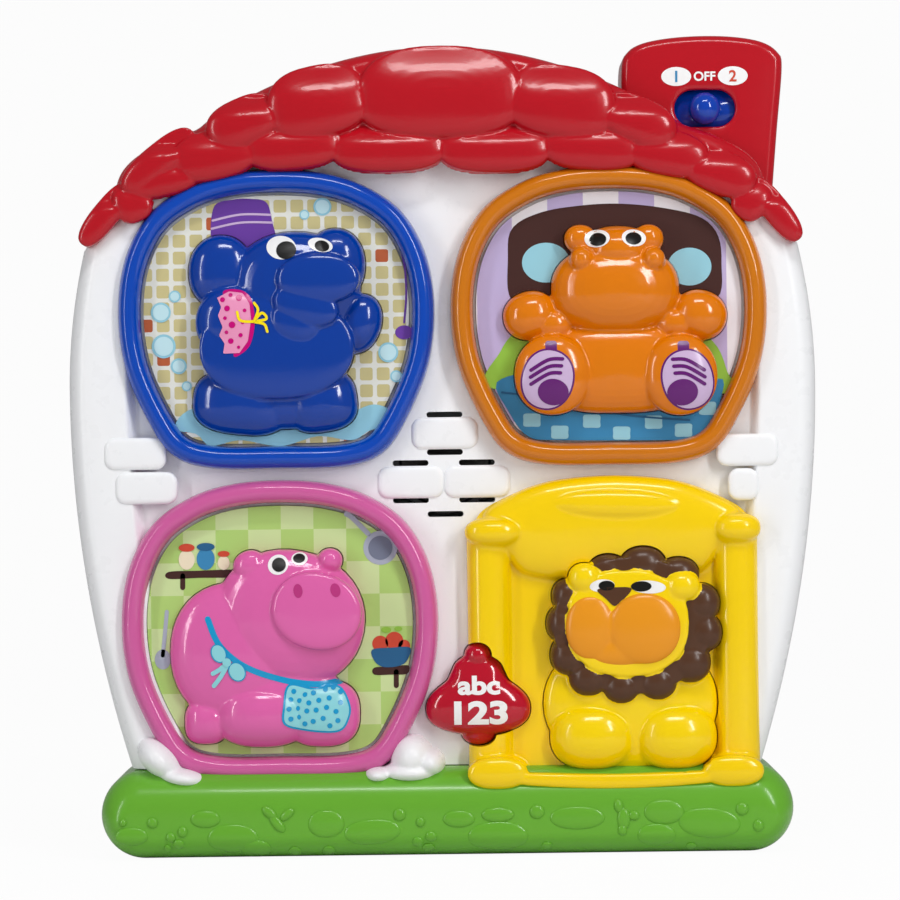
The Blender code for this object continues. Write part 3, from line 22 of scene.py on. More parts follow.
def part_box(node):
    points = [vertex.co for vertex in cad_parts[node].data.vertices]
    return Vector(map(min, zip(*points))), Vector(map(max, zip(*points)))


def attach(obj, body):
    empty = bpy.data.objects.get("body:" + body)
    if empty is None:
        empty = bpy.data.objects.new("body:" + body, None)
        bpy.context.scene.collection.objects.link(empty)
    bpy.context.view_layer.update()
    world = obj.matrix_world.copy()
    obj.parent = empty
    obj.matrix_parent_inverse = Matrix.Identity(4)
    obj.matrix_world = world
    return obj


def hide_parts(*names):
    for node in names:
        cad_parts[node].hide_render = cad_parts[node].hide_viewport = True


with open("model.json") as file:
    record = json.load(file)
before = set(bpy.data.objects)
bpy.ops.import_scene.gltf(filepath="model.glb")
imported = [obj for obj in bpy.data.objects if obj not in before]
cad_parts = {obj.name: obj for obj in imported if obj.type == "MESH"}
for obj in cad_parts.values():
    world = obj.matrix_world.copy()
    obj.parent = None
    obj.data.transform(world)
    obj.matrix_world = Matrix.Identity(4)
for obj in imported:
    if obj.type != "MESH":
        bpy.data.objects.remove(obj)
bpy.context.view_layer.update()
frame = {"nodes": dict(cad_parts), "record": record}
LOG = logging.getLogger("activity_house")

Point = tuple[float, float]
Loop = list[Point]
Ring = list[tuple[float, float, float]]

# Fits that the sub-assemblies share
GAP = 0.0003             # clearance between two pieces
WALL = 0.0025            # thickness of the moulded wall
WALL_PLAY = 0.0008       # play between a window's opening and its frame
OVERRUN = 0.010          # how far a cutter runs on behind the wall's front
FAR = 0.100              # past the front or the back of every piece
FACE_Y = -0.0240         # front of the wall between its pillars
PANEL_BACK_Y = FACE_Y - GAP
PANEL_FRONT_Y = PANEL_BACK_Y - 0.0020
PARTING_Y = 0.0020       # where the front shell ends and the rear cover starts
PAINT = 0.00012          # thickness of a painted or printed layer
PAINT_STEP = 0.0009      # spacing of the points inside a painted shape
HOUSE_BODY = "house"

# Numbers of the geometry
QUARTER = math.pi / 2    # a quarter turn
TINY = 1e-9              # stands in for a length of zero
SAME_POINT = 1e-7        # points nearer than this are one
NEARLY_CLOSED = 0.985    # share of a quarter turn at which a dome's last ring stops

# Numbers of the moulded skin: each noise has a scale and a detail
CLOUD_NOISE = (22.0, 3.0)
MARK_NOISE = (160.0, 5.0)
SKIN_NOISE = (900.0, 2.0)
CLOUD_VALUE = 0.72       # brightness of the darker clouds
CLOUD_SATURATION = 1.06
SKIN_DEPTH = 0.0001
COAT_ROUGHNESS = 0.05
PRINT_SHADE = 0.12
PRINT_GLOSS = 0.42
PRINT_SMUDGE = 0.10


# Outlines in the front plane

def runs_counter_clockwise(loop: Sequence[Point]) -> bool:
    """Tell which way round a closed loop runs."""
    return sum(a[0] * b[1] - b[0] * a[1] for a, b in zip(loop, [*loop[1:], loop[0]])) > 0


def signed_power(value: float, power: float) -> float:
    """Raise a number's size to a power and keep its sign."""
    return math.copysign(abs(value) ** power, value)


def spline_point(places: Sequence[Point], t: float) -> Point:
    """Give the point at share t between the middle two of four places on a smooth curve."""
    a, b, c, d = places
    return tuple(0.5 * (2 * b[k] + (c[k] - a[k]) * t
                        + (2 * a[k] - 5 * b[k] + 4 * c[k] - d[k]) * t * t
                        + (3 * b[k] - a[k] - 3 * c[k] + d[k]) * t ** 3) for k in (0, 1))


def spline_loop(points: Sequence[Point], per_span: int) -> Loop:
    """Run a smooth closed curve through points.

    Args:
        points: places that the curve passes, in order.
        per_span: points made from one place to the next.

    Returns:
        The curve's points.
    """
    count = len(points)
    return [spline_point([points[(i + k) % count] for k in (-1, 0, 1, 2)], step / per_span)
            for i in range(count) for step in range(per_span)]


def smooth_path(points: Sequence[Point], per_span: int = 8) -> Loop:
    """Run a smooth open curve through points.

    Args:
        points: places that the curve passes, in order.
        per_span: points made from one place to the next.

    Returns:
        The curve's points.
    """
    padded = [points[0], *points, points[-1]]
    path = [spline_point(padded[i - 1:i + 3], step / per_span)
            for i in range(1, len(padded) - 2) for step in range(per_span)]
    return path + [tuple(points[-1])]


def resample(loop: Sequence[Point], count: int) -> Loop:
    """Space points evenly along a closed loop.

    Args:
        loop: the closed loop.
        count: number of points wanted.

    Returns:
        A loop of count points.
    """
    size = len(loop)
    lengths = [math.dist(loop[i], loop[(i + 1) % size]) for i in range(size)]
    step = sum(lengths) / count
    result: Loop = []
    at, i = 0.0, 0
    for k in range(count):
        while at + lengths[i] < k * step and i < size - 1:
            at += lengths[i]
            i += 1
        share = min(1.0, (k * step - at) / max(lengths[i], TINY))
        a, b = loop[i], loop[(i + 1) % size]
        result.append((a[0] + (b[0] - a[0]) * share, a[1] + (b[1] - a[1]) * share))
    return result


def inset(loop: Sequence[Point], distance: float) -> Loop:
    """Draw a closed loop in by a distance, or out where it is negative."""
    size = len(loop)
    way = 1.0 if runs_counter_clockwise(loop) else -1.0
    result: Loop = []
    for i in range(size):
        before, here, after = loop[i - 1], loop[i], loop[(i + 1) % size]
        normals = []
        for a, b in ((before, here), (here, after)):
            length = max(math.dist(a, b), TINY)
            normals.append((-(b[1] - a[1]) / length * way, (b[0] - a[0]) / length * way))
        nx, nz = normals[0][0] + normals[1][0], normals[0][1] + normals[1][1]
        scale = 2.0 / max(nx * nx + nz * nz, 0.5)
        result.append((here[0] + nx * scale * distance, here[1] + nz * scale * distance))
    return result


def mirrored(shares: Sequence[Point], width: float, height: float, x: float, z: float) -> Loop:
    """Turn a right half, given from the top as shares, into a whole outline."""
    right = [(x + sx * width / 2, z + sz * height) for sx, sz in shares]
    left = [(2 * x - px, pz) for px, pz in right if abs(px - x) > GAP]
    return right + left[::-1]


def oval(x: float, z: float, half_width: float, half_height: float, turn: float = 0.0,
         square: float = 2.0, sides: int = 40, half_below: Optional[float] = None) -> Loop:
    """Make an ellipse or a squarer oval.

    Args:
        x: middle.
        z: middle.
        half_width: half axis along the oval's own width.
        half_height: half axis along its own height.
        turn: counter-clockwise turn in degrees.
        square: 2 is an ellipse, more is squarer.
        sides: number of points.
        half_below: half axis below the middle, where it differs from the one above.

    Returns:
        The oval's points.
    """
    below = half_height if half_below is None else half_below
    cos_turn, sin_turn = math.cos(math.radians(turn)), math.sin(math.radians(turn))
    loop: Loop = []
    for i in range(sides):
        c, s = math.cos(2 * math.pi * i / sides), math.sin(2 * math.pi * i / sides)
        u = half_width * signed_power(c, 2 / square)
        v = (half_height if s > 0 else below) * signed_power(s, 2 / square)
        loop.append((x + u * cos_turn - v * sin_turn, z + u * sin_turn + v * cos_turn))
    return loop


def rounded_rectangle(x: float, z: float, width: float, height: float, radius: float,
                      steps: int = 6) -> Loop:
    """A rectangle about (x, z) with round corners."""
    loop: Loop = []
    for corner, (sx, sz) in enumerate(((1, 1), (-1, 1), (-1, -1), (1, -1))):
        for i in range(steps + 1):
            turn = QUARTER * (corner + i / steps)
            loop.append((x + sx * (width / 2 - radius) + radius * math.cos(turn),
                         z + sz * (height / 2 - radius) + radius * math.sin(turn)))
    return loop


def ribbon(path: Sequence[Point], width: float, tips: int = 5) -> Loop:
    """Outline of a painted line of even width along a path, with round ends."""
    left: Loop = []
    right: Loop = []
    last = len(path) - 1
    for i, (x, z) in enumerate(path):
        ax, az = path[max(i - 1, 0)]
        bx, bz = path[min(i + 1, last)]
        length = max(math.dist((ax, az), (bx, bz)), TINY)
        nx, nz = -(bz - az) / length * width / 2, (bx - ax) / length * width / 2
        left.append((x + nx, z + nz))
        right.append((x - nx, z - nz))
    ends: list[Loop] = []
    for (x, z), (sx, sz) in ((path[last], left[last]), (path[0], right[0])):
        start = math.atan2(sz - z, sx - x)
        ends.append([(x + width / 2 * math.cos(start - math.pi * k / tips),
                      z + width / 2 * math.sin(start - math.pi * k / tips)) for k in range(1, tips)])
    return left + ends[0] + right[::-1] + ends[1]


# Meshes

def new_object(name: str, bm: bmesh.types.BMesh) -> bpy.types.Object:
    """Turn a bmesh into a linked, smooth-shaded object."""
    mesh = bpy.data.meshes.new(name)
    bm.to_mesh(mesh)
    bm.free()
    mesh.shade_smooth()
    obj = bpy.data.objects.new(name, mesh)
    bpy.context.collection.objects.link(obj)
    return obj


def turn_to_front(bm: bmesh.types.BMesh) -> None:
    """Turn every face of a printed layer to the front."""
    for face in bm.faces:
        face.normal_update()
        if face.normal.y > 0:
            face.normal_flip()


def at_y(loop: Iterable[Point], y: float) -> Ring:
    """Place a loop of the front plane at depth y."""
    return [(x, y, z) for x, z in loop]


def loft(name: str, loops: Sequence[Ring], closed: bool = False) -> bpy.types.Object:
    """Skin through rings of points.

    Args:
        name: the piece's name.
        loops: rings with equal counts of points.
        closed: join the last ring to the first, and leave out the caps.

    Returns:
        The new object.
    """
    bm = bmesh.new()
    rings = [[bm.verts.new(point) for point in loop] for loop in loops]
    pairs = list(zip(rings, rings[1:])) + ([(rings[-1], rings[0])] if closed else [])
    for low, high in pairs:
        for i in range(len(low)):
            j = (i + 1) % len(low)
            bm.faces.new((low[i], low[j], high[j], high[i]))
    if not closed:
        bm.faces.new(list(reversed(rings[0])))
        bm.faces.new(rings[-1])
    bmesh.ops.recalc_face_normals(bm, faces=bm.faces)
    return new_object(name, bm)


def prism(name: str, loop: Sequence[Point], y_front: float, y_back: float) -> bpy.types.Object:
    """Extrude a loop of the front plane along Y."""
    return loft(name, [at_y(loop, y_front), at_y(loop, y_back)])


def rounded_slab(outline: Callable[[float], Loop], front: float, back: float, edge: float,
                 steps: int) -> list[Ring]:
    """Rings of a slab with rounded front and back edges.

    Args:
        outline: gives the slab's outline, drawn in by a distance.
        front: depth of the front.
        back: depth of the back.
        edge: radius of the edges.
        steps: steps round each edge.

    Returns:
        Rings from front to back.
    """
    rings = []
    for y, way, order in ((front, 1, range(steps + 1)), (back, -1, range(steps, -1, -1))):
        for i in order:
            turn = QUARTER * i / steps
            rings.append(at_y(outline(edge * (1 - math.sin(turn))), y + way * edge * (1 - math.cos(turn))))
    return rings


def dome_loops(loop: Sequence[Point], centre: Point, back: float, shoulder: float, front: float,
               rings: int = 9, puff: float = 2.3) -> list[Ring]:
    """Rings of a puffy dome over an outline.

    Args:
        loop: outline at the back and up to the shoulder.
        centre: where the dome closes.
        back: depth of the flat back.
        shoulder: depth at which the side starts to round over.
        front: depth of the dome's highest point.
        rings: rings between shoulder and front.
        puff: 2 is round, more is fuller.

    Returns:
        Rings from the back to the top; the last is nearly a point.
    """
    loops = [at_y(loop, back)]
    for ring in range(rings + 1):
        turn = QUARTER * min(ring / rings, NEARLY_CLOSED)
        share = math.cos(turn) ** (2 / puff)
        y = shoulder + (front - shoulder) * math.sin(turn) ** (2 / puff)
        loops.append([(centre[0] + (x - centre[0]) * share, y, centre[1] + (z - centre[1]) * share)
                      for x, z in loop])
    return loops


def apply_modifiers(obj: bpy.types.Object) -> bpy.types.Object:
    """Make an object's modifiers part of its mesh."""
    evaluated = obj.evaluated_get(bpy.context.evaluated_depsgraph_get())
    mesh = bpy.data.meshes.new_from_object(evaluated)
    obj.modifiers.clear()
    old = obj.data
    obj.data = mesh
    bpy.data.meshes.remove(old)
    return obj


def merge(name: str, parts: Sequence[bpy.types.Object]) -> bpy.types.Object:
    """Put several meshes in one object, without fusing them."""
    bm = bmesh.new()
    for part in parts:
        bm.from_mesh(part.data)
        bpy.data.objects.remove(part, do_unlink=True)
    return new_object(name, bm)


def fuse(name: str, parts: Sequence[bpy.types.Object], grain: float, soften: int) -> bpy.types.Object:
    """Melt closed solids into one moulded form with soft creases.

    Args:
        name: the piece's name.
        parts: overlapping closed solids.
        grain: size of the form's smallest facet.
        soften: rounds of smoothing over the creases.

    Returns:
        The fused object.
    """
    obj = merge(name, parts)
    remesh = obj.modifiers.new("melt", "REMESH")
    remesh.mode = "VOXEL"
    remesh.voxel_size = grain
    remesh.use_smooth_shade = True
    smooth = obj.modifiers.new("soften", "SMOOTH")
    smooth.factor = 0.5
    smooth.iterations = soften
    apply_modifiers(obj)
    obj.data.shade_smooth()
    return obj


def cut(obj: bpy.types.Object, cutters: Sequence[bpy.types.Object], sharp: float) -> bpy.types.Object:
    """Cut solids out of a closed solid.

    Args:
        obj: the solid to cut.
        cutters: closed solids, which are removed after the cut.
        sharp: angle in degrees above which an edge stays crisp.

    Returns:
        The cut object.
    """
    for cutter in cutters:
        boolean = obj.modifiers.new("cut", "BOOLEAN")
        boolean.operation = "DIFFERENCE"
        boolean.solver = "EXACT"
        boolean.object = cutter
    apply_modifiers(obj)
    for cutter in cutters:
        bpy.data.objects.remove(cutter, do_unlink=True)
    return crisp(obj, sharp)


def crisp(obj: bpy.types.Object, angle: float) -> bpy.types.Object:
    """Shade smooth, with edges above an angle in degrees kept crisp."""
    obj.data.shade_smooth()
    obj.data.set_sharp_from_angle(angle=math.radians(angle))
    return obj


# Finishes

def linear(colour: Sequence[int]) -> tuple[float, float, float, float]:
    """Convert a colour of three numbers up to 255 to the renderer's linear values."""
    shares = [c / 255 for c in colour]
    return (*[c / 12.92 if c <= 0.04045 else ((c + 0.055) / 1.055) ** 2.4 for c in shares], 1.0)


class Wiring:
    """Short calls for placing nodes in one node tree."""

    def __init__(self, tree: bpy.types.NodeTree) -> None:
        """Work in a node tree."""
        self.tree = tree

    def node(self, kind: str, **values: object) -> bpy.types.Node:
        """Add a node and set its properties."""
        node = self.tree.nodes.new(kind)
        for key, value in values.items():
            setattr(node, key, value)
        return node

    def link(self, source: bpy.types.NodeSocket, target: bpy.types.NodeSocket) -> None:
        """Join two sockets."""
        self.tree.links.new(source, target)

    def feed(self, value: object, socket: bpy.types.NodeSocket) -> None:
        """Link a socket to an input, or set a plain value on it."""
        if isinstance(value, bpy.types.NodeSocket):
            self.link(value, socket)
        else:
            socket.default_value = value

    def fill(self, node: bpy.types.Node, values: dict[str, object]) -> bpy.types.Node:
        """Feed a node's inputs by their labels and give the node."""
        for label, value in values.items():
            self.feed(value, node.inputs[label])
        return node

    def place(self) -> bpy.types.NodeSocket:
        """Give the place on the object."""
        return self.node("ShaderNodeTexCoord").outputs["Object"]

    def noise(self, place: bpy.types.NodeSocket, scale: float, detail: float) -> bpy.types.NodeSocket:
        """Add a noise and give its value."""
        values = {"Vector": place, "Scale": scale, "Detail": detail}
        return self.fill(self.node("ShaderNodeTexNoise"), values).outputs["Fac"]

    def math(self, operation: str, *values: object) -> bpy.types.NodeSocket:
        """Add a Math node fed by sockets or numbers and give its result."""
        node = self.node("ShaderNodeMath", operation=operation)
        for value, socket in zip(values, node.inputs):
            self.feed(value, socket)
        return node.outputs[0]

    def mix(self, share: object, first: object, second: object) -> bpy.types.NodeSocket:
        """Mix two colours by a share and give the result."""
        node = self.node("ShaderNodeMix", data_type="RGBA")
        return self.fill(node, {"Factor": share, "A": first, "B": second}).outputs["Result"]


def make_group(name: str, inputs: dict[str, object],
               outputs: dict[str, str]) -> tuple[bpy.types.NodeTree, Wiring, object, object]:
    """Start a shader node group with named sockets.

    Args:
        name: the group's name.
        inputs: each input's name and default, a number or a colour.
        outputs: each output's name and kind.

    Returns:
        The group, its wiring, the sockets of its inputs and its output node.
    """
    group = bpy.data.node_groups.new(name, "ShaderNodeTree")
    for label, default in inputs.items():
        kind = "NodeSocketFloat" if isinstance(default, float) else "NodeSocketColor"
        group.interface.new_socket(label, in_out="INPUT", socket_type=kind).default_value = default
    for label, kind in outputs.items():
        group.interface.new_socket(label, in_out="OUTPUT", socket_type="NodeSocket" + kind)
    wiring = Wiring(group)
    return group, wiring, wiring.node("NodeGroupInput").outputs, wiring.node("NodeGroupOutput")


def moulded_group() -> bpy.types.NodeTree:
    """Group for moulded plastic: cloudy colour, handling marks in the gloss and a fine skin."""
    name = "moulded_skin"
    if name in bpy.data.node_groups:
        return bpy.data.node_groups[name]
    group, w, given, out = make_group(
        name, {"Colour": (0.8, 0.8, 0.8, 1.0), "Shade": 0.05, "Gloss": 0.25, "Smudge": 0.08, "Skin": 0.05},
        {"Colour": "Color", "Roughness": "Float", "Normal": "Vector"})
    place = w.place()
    darker = w.fill(w.node("ShaderNodeHueSaturation"),
                    {"Value": CLOUD_VALUE, "Saturation": CLOUD_SATURATION, "Color": given["Colour"]})
    share = w.math("MULTIPLY", w.noise(place, *CLOUD_NOISE), given["Shade"])
    marks = w.math("SUBTRACT", w.noise(place, *MARK_NOISE), 0.5)
    spread = w.math("MULTIPLY", marks, given["Smudge"])
    bump = w.fill(w.node("ShaderNodeBump"), {"Distance": SKIN_DEPTH, "Strength": given["Skin"],
                                             "Height": w.noise(place, *SKIN_NOISE)})
    w.fill(out, {"Colour": w.mix(share, given["Colour"], darker.outputs["Color"]),
                 "Roughness": w.math("ADD", given["Gloss"], spread), "Normal": bump.outputs["Normal"]})
    return group


def tiles_group() -> bpy.types.NodeTree:
    """Group for a printed wall of rounded tiles: masks for tiles and for accent tiles."""
    name = "printed_tiles"
    if name in bpy.data.node_groups:
        return bpy.data.node_groups[name]
    group, w, given, out = make_group(name, {"Pitch": 0.006, "Width": 0.38, "Corner": 0.14, "Accents": 0.08},
                                      {"Tile": "Float", "Accent": "Float"})
    place = w.fill(w.node("ShaderNodeSeparateXYZ"), {"Vector": w.place()}).outputs
    inner = w.math("SUBTRACT", given["Width"], given["Corner"])
    cell = w.node("ShaderNodeCombineXYZ")
    squares = []
    for axis, slot in (("X", "X"), ("Z", "Y")):
        count = w.math("DIVIDE", place[axis], given["Pitch"])
        w.link(w.math("FLOOR", count), cell.inputs[slot])
        off = w.math("ABSOLUTE", w.math("SUBTRACT", w.math("FRACT", count), 0.5))
        apart = w.math("MAXIMUM", w.math("SUBTRACT", off, inner), 0.0)
        squares.append(w.math("POWER", apart, 2.0))
    reach = w.math("SQRT", w.math("ADD", *squares))
    chance = w.node("ShaderNodeTexWhiteNoise", noise_dimensions="3D")
    w.link(cell.outputs["Vector"], chance.inputs["Vector"])
    w.fill(out, {"Tile": w.math("LESS_THAN", reach, given["Corner"]),
                 "Accent": w.math("LESS_THAN", chance.outputs["Value"], given["Accents"])})
    return group


@dataclass(frozen=True)
class Finish:
    """What a surface looks like, and the record's slot that it belongs to."""

    slot: str
    name: str = field(default="", kw_only=True)

    def material(self) -> bpy.types.Material:
        """Give this finish's material, made at its first use."""
        name = "finish_" + (self.name or self.slot)
        if name in bpy.data.materials:
            return bpy.data.materials[name]
        mat = bpy.data.materials.new(name)
        mat.use_nodes = True
        self.wire(Wiring(mat.node_tree), mat.node_tree.nodes["Principled BSDF"])
        return mat

    def wire(self, w: Wiring, shader: bpy.types.Node) -> None:
        """Wire the finish into a new material's shader."""
        raise NotImplementedError

    @staticmethod
    def cover(w: Wiring, shader: bpy.types.Node, values: dict[str, object]) -> None:
        """Cover the shader with the moulded skin, fed with values."""
        skin = w.fill(w.node("ShaderNodeGroup", node_tree=moulded_group()), values).outputs
        w.fill(shader, {"Base Color": skin["Colour"], "Roughness": skin["Roughness"],
                        "Normal": skin["Normal"]})


@dataclass(frozen=True)
class Moulded(Finish):
    """A plastic, rubber or metal finish."""

    colour: tuple[int, int, int]
    gloss: float = 0.20
    smudge: float = 0.06
    shade: float = 0.10
    skin: float = 0.04
    coat: float = 0.0
    metal: float = 0.0
    sheen: float = 0.32

    def wire(self, w: Wiring, shader: bpy.types.Node) -> None:
        """Wire the finish into a new material's shader."""
        self.cover(w, shader, {"Colour": linear(self.colour), "Shade": self.shade, "Gloss": self.gloss,
                               "Smudge": self.smudge, "Skin": self.skin})
        w.fill(shader, {"Metallic": self.metal, "Specular IOR Level": self.sheen,
                        "Coat Weight": self.coat, "Coat Roughness": COAT_ROUGHNESS})


class Pattern(Enum):
    """The printed walls behind the animals."""

    TILES = "tiles"
    STRIPES = "stripes"
    CHECKS = "checks"


@dataclass(frozen=True)
class Printed(Finish):
    """A printed sheet with a repeating pattern."""

    pattern: Pattern
    pitch: float
    ground: tuple[int, int, int]
    ink: tuple[int, int, int]
    accent: tuple[int, int, int] = (0, 0, 0)

    def bands(self, w: Wiring, along: bpy.types.NodeSocket) -> bpy.types.NodeSocket:
        """Mask of every other band along an axis."""
        return w.math("GREATER_THAN", w.math("FRACT", w.math("DIVIDE", along, self.pitch)), 0.5)

    def wire(self, w: Wiring, shader: bpy.types.Node) -> None:
        """Wire the finish into a new material's shader."""
        if self.pattern is Pattern.TILES:
            tiles = w.fill(w.node("ShaderNodeGroup", node_tree=tiles_group()), {"Pitch": self.pitch}).outputs
            tile = w.mix(tiles["Accent"], linear(self.ink), linear(self.accent))
            colour = w.mix(tiles["Tile"], linear(self.ground), tile)
        else:
            place = w.fill(w.node("ShaderNodeSeparateXYZ"), {"Vector": w.place()}).outputs
            share = self.bands(w, place["X"])
            if self.pattern is Pattern.CHECKS:
                share = w.math("ABSOLUTE", w.math("SUBTRACT", share, self.bands(w, place["Z"])))
            colour = w.mix(share, linear(self.ground), linear(self.ink))
        self.cover(w, shader, {"Colour": colour, "Shade": PRINT_SHADE, "Gloss": PRINT_GLOSS,
                               "Smudge": PRINT_SMUDGE})


WHITE = Moulded("white_plastic", (246, 247, 249), 0.28, shade=0.05)
RED = Moulded("red_plastic", (184, 14, 30), 0.22, coat=0.2)
GREEN = Moulded("green_plastic", (106, 176, 50), 0.24, coat=0.15)
BLUE = Moulded("blue_plastic", (0, 70, 182), 0.16, coat=0.4, name="deep_blue_plastic")
ORANGE = Moulded("orange_plastic", (206, 118, 14), 0.16, coat=0.35)
PINK = Moulded("pink_plastic", (210, 96, 160), 0.16, coat=0.35)
YELLOW = Moulded("yellow_plastic", (252, 212, 0), 0.18, coat=0.25)
BELL_RED = Moulded("bell_red_plastic", (186, 6, 38), 0.12, coat=0.5)
KNOB_BLUE = Moulded("knob_blue_plastic", (0, 60, 172), 0.14, coat=0.5)
ELEPHANT_BLUE = Moulded("elephant_blue_plastic", (0, 58, 156), 0.15, coat=0.4)
HIPPO_ORANGE = Moulded("hippo_orange_plastic", (224, 122, 0), 0.16, coat=0.35)
PIG_PINK = Moulded("pig_pink_plastic", (226, 102, 172), 0.16, coat=0.35)
LION_YELLOW = Moulded("lion_yellow_plastic", (252, 216, 0), 0.18, coat=0.25)
BATH_TILES = Printed("bathroom_print", Pattern.TILES, 0.0062, (232, 232, 222), (206, 194, 138),
                     (186, 92, 52), name="bath_tiles")
BED_STRIPES = Printed("bedroom_print", Pattern.STRIPES, 0.0262, (236, 234, 240), (190, 176, 218),
                      name="bed_stripes")
KITCHEN_CHECKS = Printed("kitchen_print", Pattern.CHECKS, 0.0240, (176, 212, 116), (204, 226, 160),
                         name="kitchen_checks")
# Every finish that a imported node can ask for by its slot, the hidden pieces' own ones included
NODE_FINISHES = {finish.slot: finish for finish in (
    WHITE, RED, GREEN, BLUE, ORANGE, PINK, YELLOW, BELL_RED, KNOB_BLUE, ELEPHANT_BLUE, HIPPO_ORANGE,
    PIG_PINK, LION_YELLOW, BATH_TILES, BED_STRIPES, KITCHEN_CHECKS,
    Moulded("black_plastic", (34, 34, 36), 0.45),
    Moulded("circuit_board", (24, 92, 48), 0.40, shade=0.3),
    Moulded("pad_rubber", (205, 205, 198), 0.60, skin=0.2),
    Moulded("battery_label", (52, 54, 60), 0.35),
    Moulded("spring_steel", (205, 205, 208), 0.25, metal=1.0),
    Moulded("screw_steel", (190, 190, 192), 0.30, metal=1.0),
    Moulded("magnet_steel", (150, 150, 152), 0.35, metal=1.0),
    Moulded("speaker_paper", (46, 44, 42), 0.80, skin=0.5),
)}


class Ink(Enum):
    """The painted and printed colours, each with its gloss."""

    WHITE = ((245, 245, 245), 0.22)
    BLACK = ((14, 13, 13), 0.34)
    MANE_BROWN = ((84, 54, 36), 0.26)
    MUZZLE_ORANGE = ((236, 152, 30), 0.22)
    ROSE = ((236, 150, 190), 0.22)
    NOSTRIL_PINK = ((188, 58, 128), 0.22)
    MAGENTA = ((200, 0, 120), 0.22)
    LEMON = ((252, 226, 20), 0.22)
    LILAC = ((204, 178, 214), 0.22)
    PURPLE = ((100, 30, 112), 0.22)
    CYAN = ((24, 154, 206), 0.22)
    MINT = ((142, 214, 222), 0.22)
    SKY = ((150, 206, 222), 0.4)
    BUBBLE = ((196, 230, 236), 0.4)
    PLUM = ((108, 62, 160), 0.4)
    COCOA = ((66, 36, 32), 0.4)
    LEAF = ((146, 196, 70), 0.4)
    DENIM = ((58, 136, 184), 0.4)
    NAVY = ((38, 96, 140), 0.4)
    GREY = ((168, 176, 192), 0.4)
    STEEL = ((116, 124, 144), 0.4)
    CREAM = ((238, 226, 196), 0.4)
    TOMATO = ((206, 74, 52), 0.4)

    def finish(self, slot: str) -> Moulded:
        """Give this ink as a finish that belongs to a record slot."""
        colour, gloss = self.value
        return Moulded(slot, colour, gloss, shade=0.06, name="ink_" + self.name.lower())


def hand_over(obj: bpy.types.Object, finish: Finish, body: str, *nodes: str) -> bpy.types.Object:
    """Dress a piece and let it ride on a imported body.

    Args:
        obj: the piece, in place.
        finish: its finish.
        body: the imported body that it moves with.
        nodes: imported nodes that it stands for.

    Returns:
        The same piece.
    """
    obj.data.materials.clear()
    obj.data.materials.append(finish.material())
    for polygon in obj.data.polygons:
        polygon.material_index = 0
    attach(obj, body)
    if nodes:
        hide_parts(*nodes)
    LOG.info("%s: %d faces on %s", obj.name, len(obj.data.polygons), body)
    return obj


class Canvas:
    """A surface that takes painted shapes seen from the front."""

    def __init__(self, *targets: bpy.types.Object, flat_y: float = 0.0) -> None:
        """Paint on pieces, or on a flat sheet at a depth where there is none."""
        self.tree = None
        self.flat_y = flat_y
        if targets:
            bm = bmesh.new()
            for target in targets:
                bm.from_mesh(target.data)
            self.tree = BVHTree.FromBMesh(bm)
            bm.free()

    def drop(self, x: float, z: float, layer: int) -> tuple[float, float, float]:
        """Put a point of the front plane on the surface, lifted by its layer of paint."""
        lift = PAINT * layer
        if self.tree is None:
            return (x, self.flat_y - lift, z)
        hit, normal, _, _ = self.tree.ray_cast(Vector((x, -FAR, z)), Vector((0, 1, 0)))
        if hit is None:
            hit, normal, _, _ = self.tree.find_nearest(Vector((x, PANEL_FRONT_Y, z)))
        if normal.y > 0:
            normal = -normal
        return tuple(hit + normal * lift)

    def shape(self, name: str, outlines: Sequence[Sequence[Point]], layer: int = 1,
              holes: Sequence[Loop] = ()) -> bpy.types.Object:
        """Fill outlines with a thin painted layer that follows the surface.

        Args:
            name: the piece's name.
            outlines: closed outlines in the front plane, one shape each.
            layer: 1 for paint on the piece, 2 for paint on that paint, and so on.
            holes: outlines that stay free of paint.

        Returns:
            The painted layer.
        """
        bm = bmesh.new()
        for outline in outlines:
            points: list[Vector] = []
            rings = []
            for loop in (outline, *holes):
                rings.append(list(range(len(points), len(points) + len(loop))))
                points += [Vector(p) for p in (loop if runs_counter_clockwise(loop) else list(loop)[::-1])]
            if self.tree is not None:
                points += self.inside_points(outline)
            found, _, faces, _, _, origins = delaunay_2d_cdt(points, [], rings, 1, SAME_POINT)
            verts = [bm.verts.new(self.drop(p.x, p.y, layer)) for p in found]
            for face, origin in zip(faces, origins):
                if list(origin) == [0]:
                    bm.faces.new([verts[i] for i in face])
        bmesh.ops.delete(bm, geom=[v for v in bm.verts if not v.link_faces], context="VERTS")
        turn_to_front(bm)
        return new_object(name, bm)

    @staticmethod
    def inside_points(outline: Sequence[Point]) -> list[Vector]:
        """Evenly spaced points well inside an outline."""
        xs, zs = [p[0] for p in outline], [p[1] for p in outline]
        sides = list(zip(outline, [*outline[1:], outline[0]]))
        result: list[Vector] = []
        for i in range(1, int((max(xs) - min(xs)) / PAINT_STEP)):
            for k in range(1, int((max(zs) - min(zs)) / PAINT_STEP)):
                x, z = min(xs) + i * PAINT_STEP, min(zs) + k * PAINT_STEP
                inside, near = False, False
                for (x1, z1), (x2, z2) in sides:
                    near = near or math.hypot(x1 - x, z1 - z) < PAINT_STEP / 3
                    if (z1 > z) != (z2 > z) and x < (x2 - x1) * (z - z1) / (z2 - z1) + x1:
                        inside = not inside
                if inside and not near:
                    result.append(Vector((x, z)))
        return result


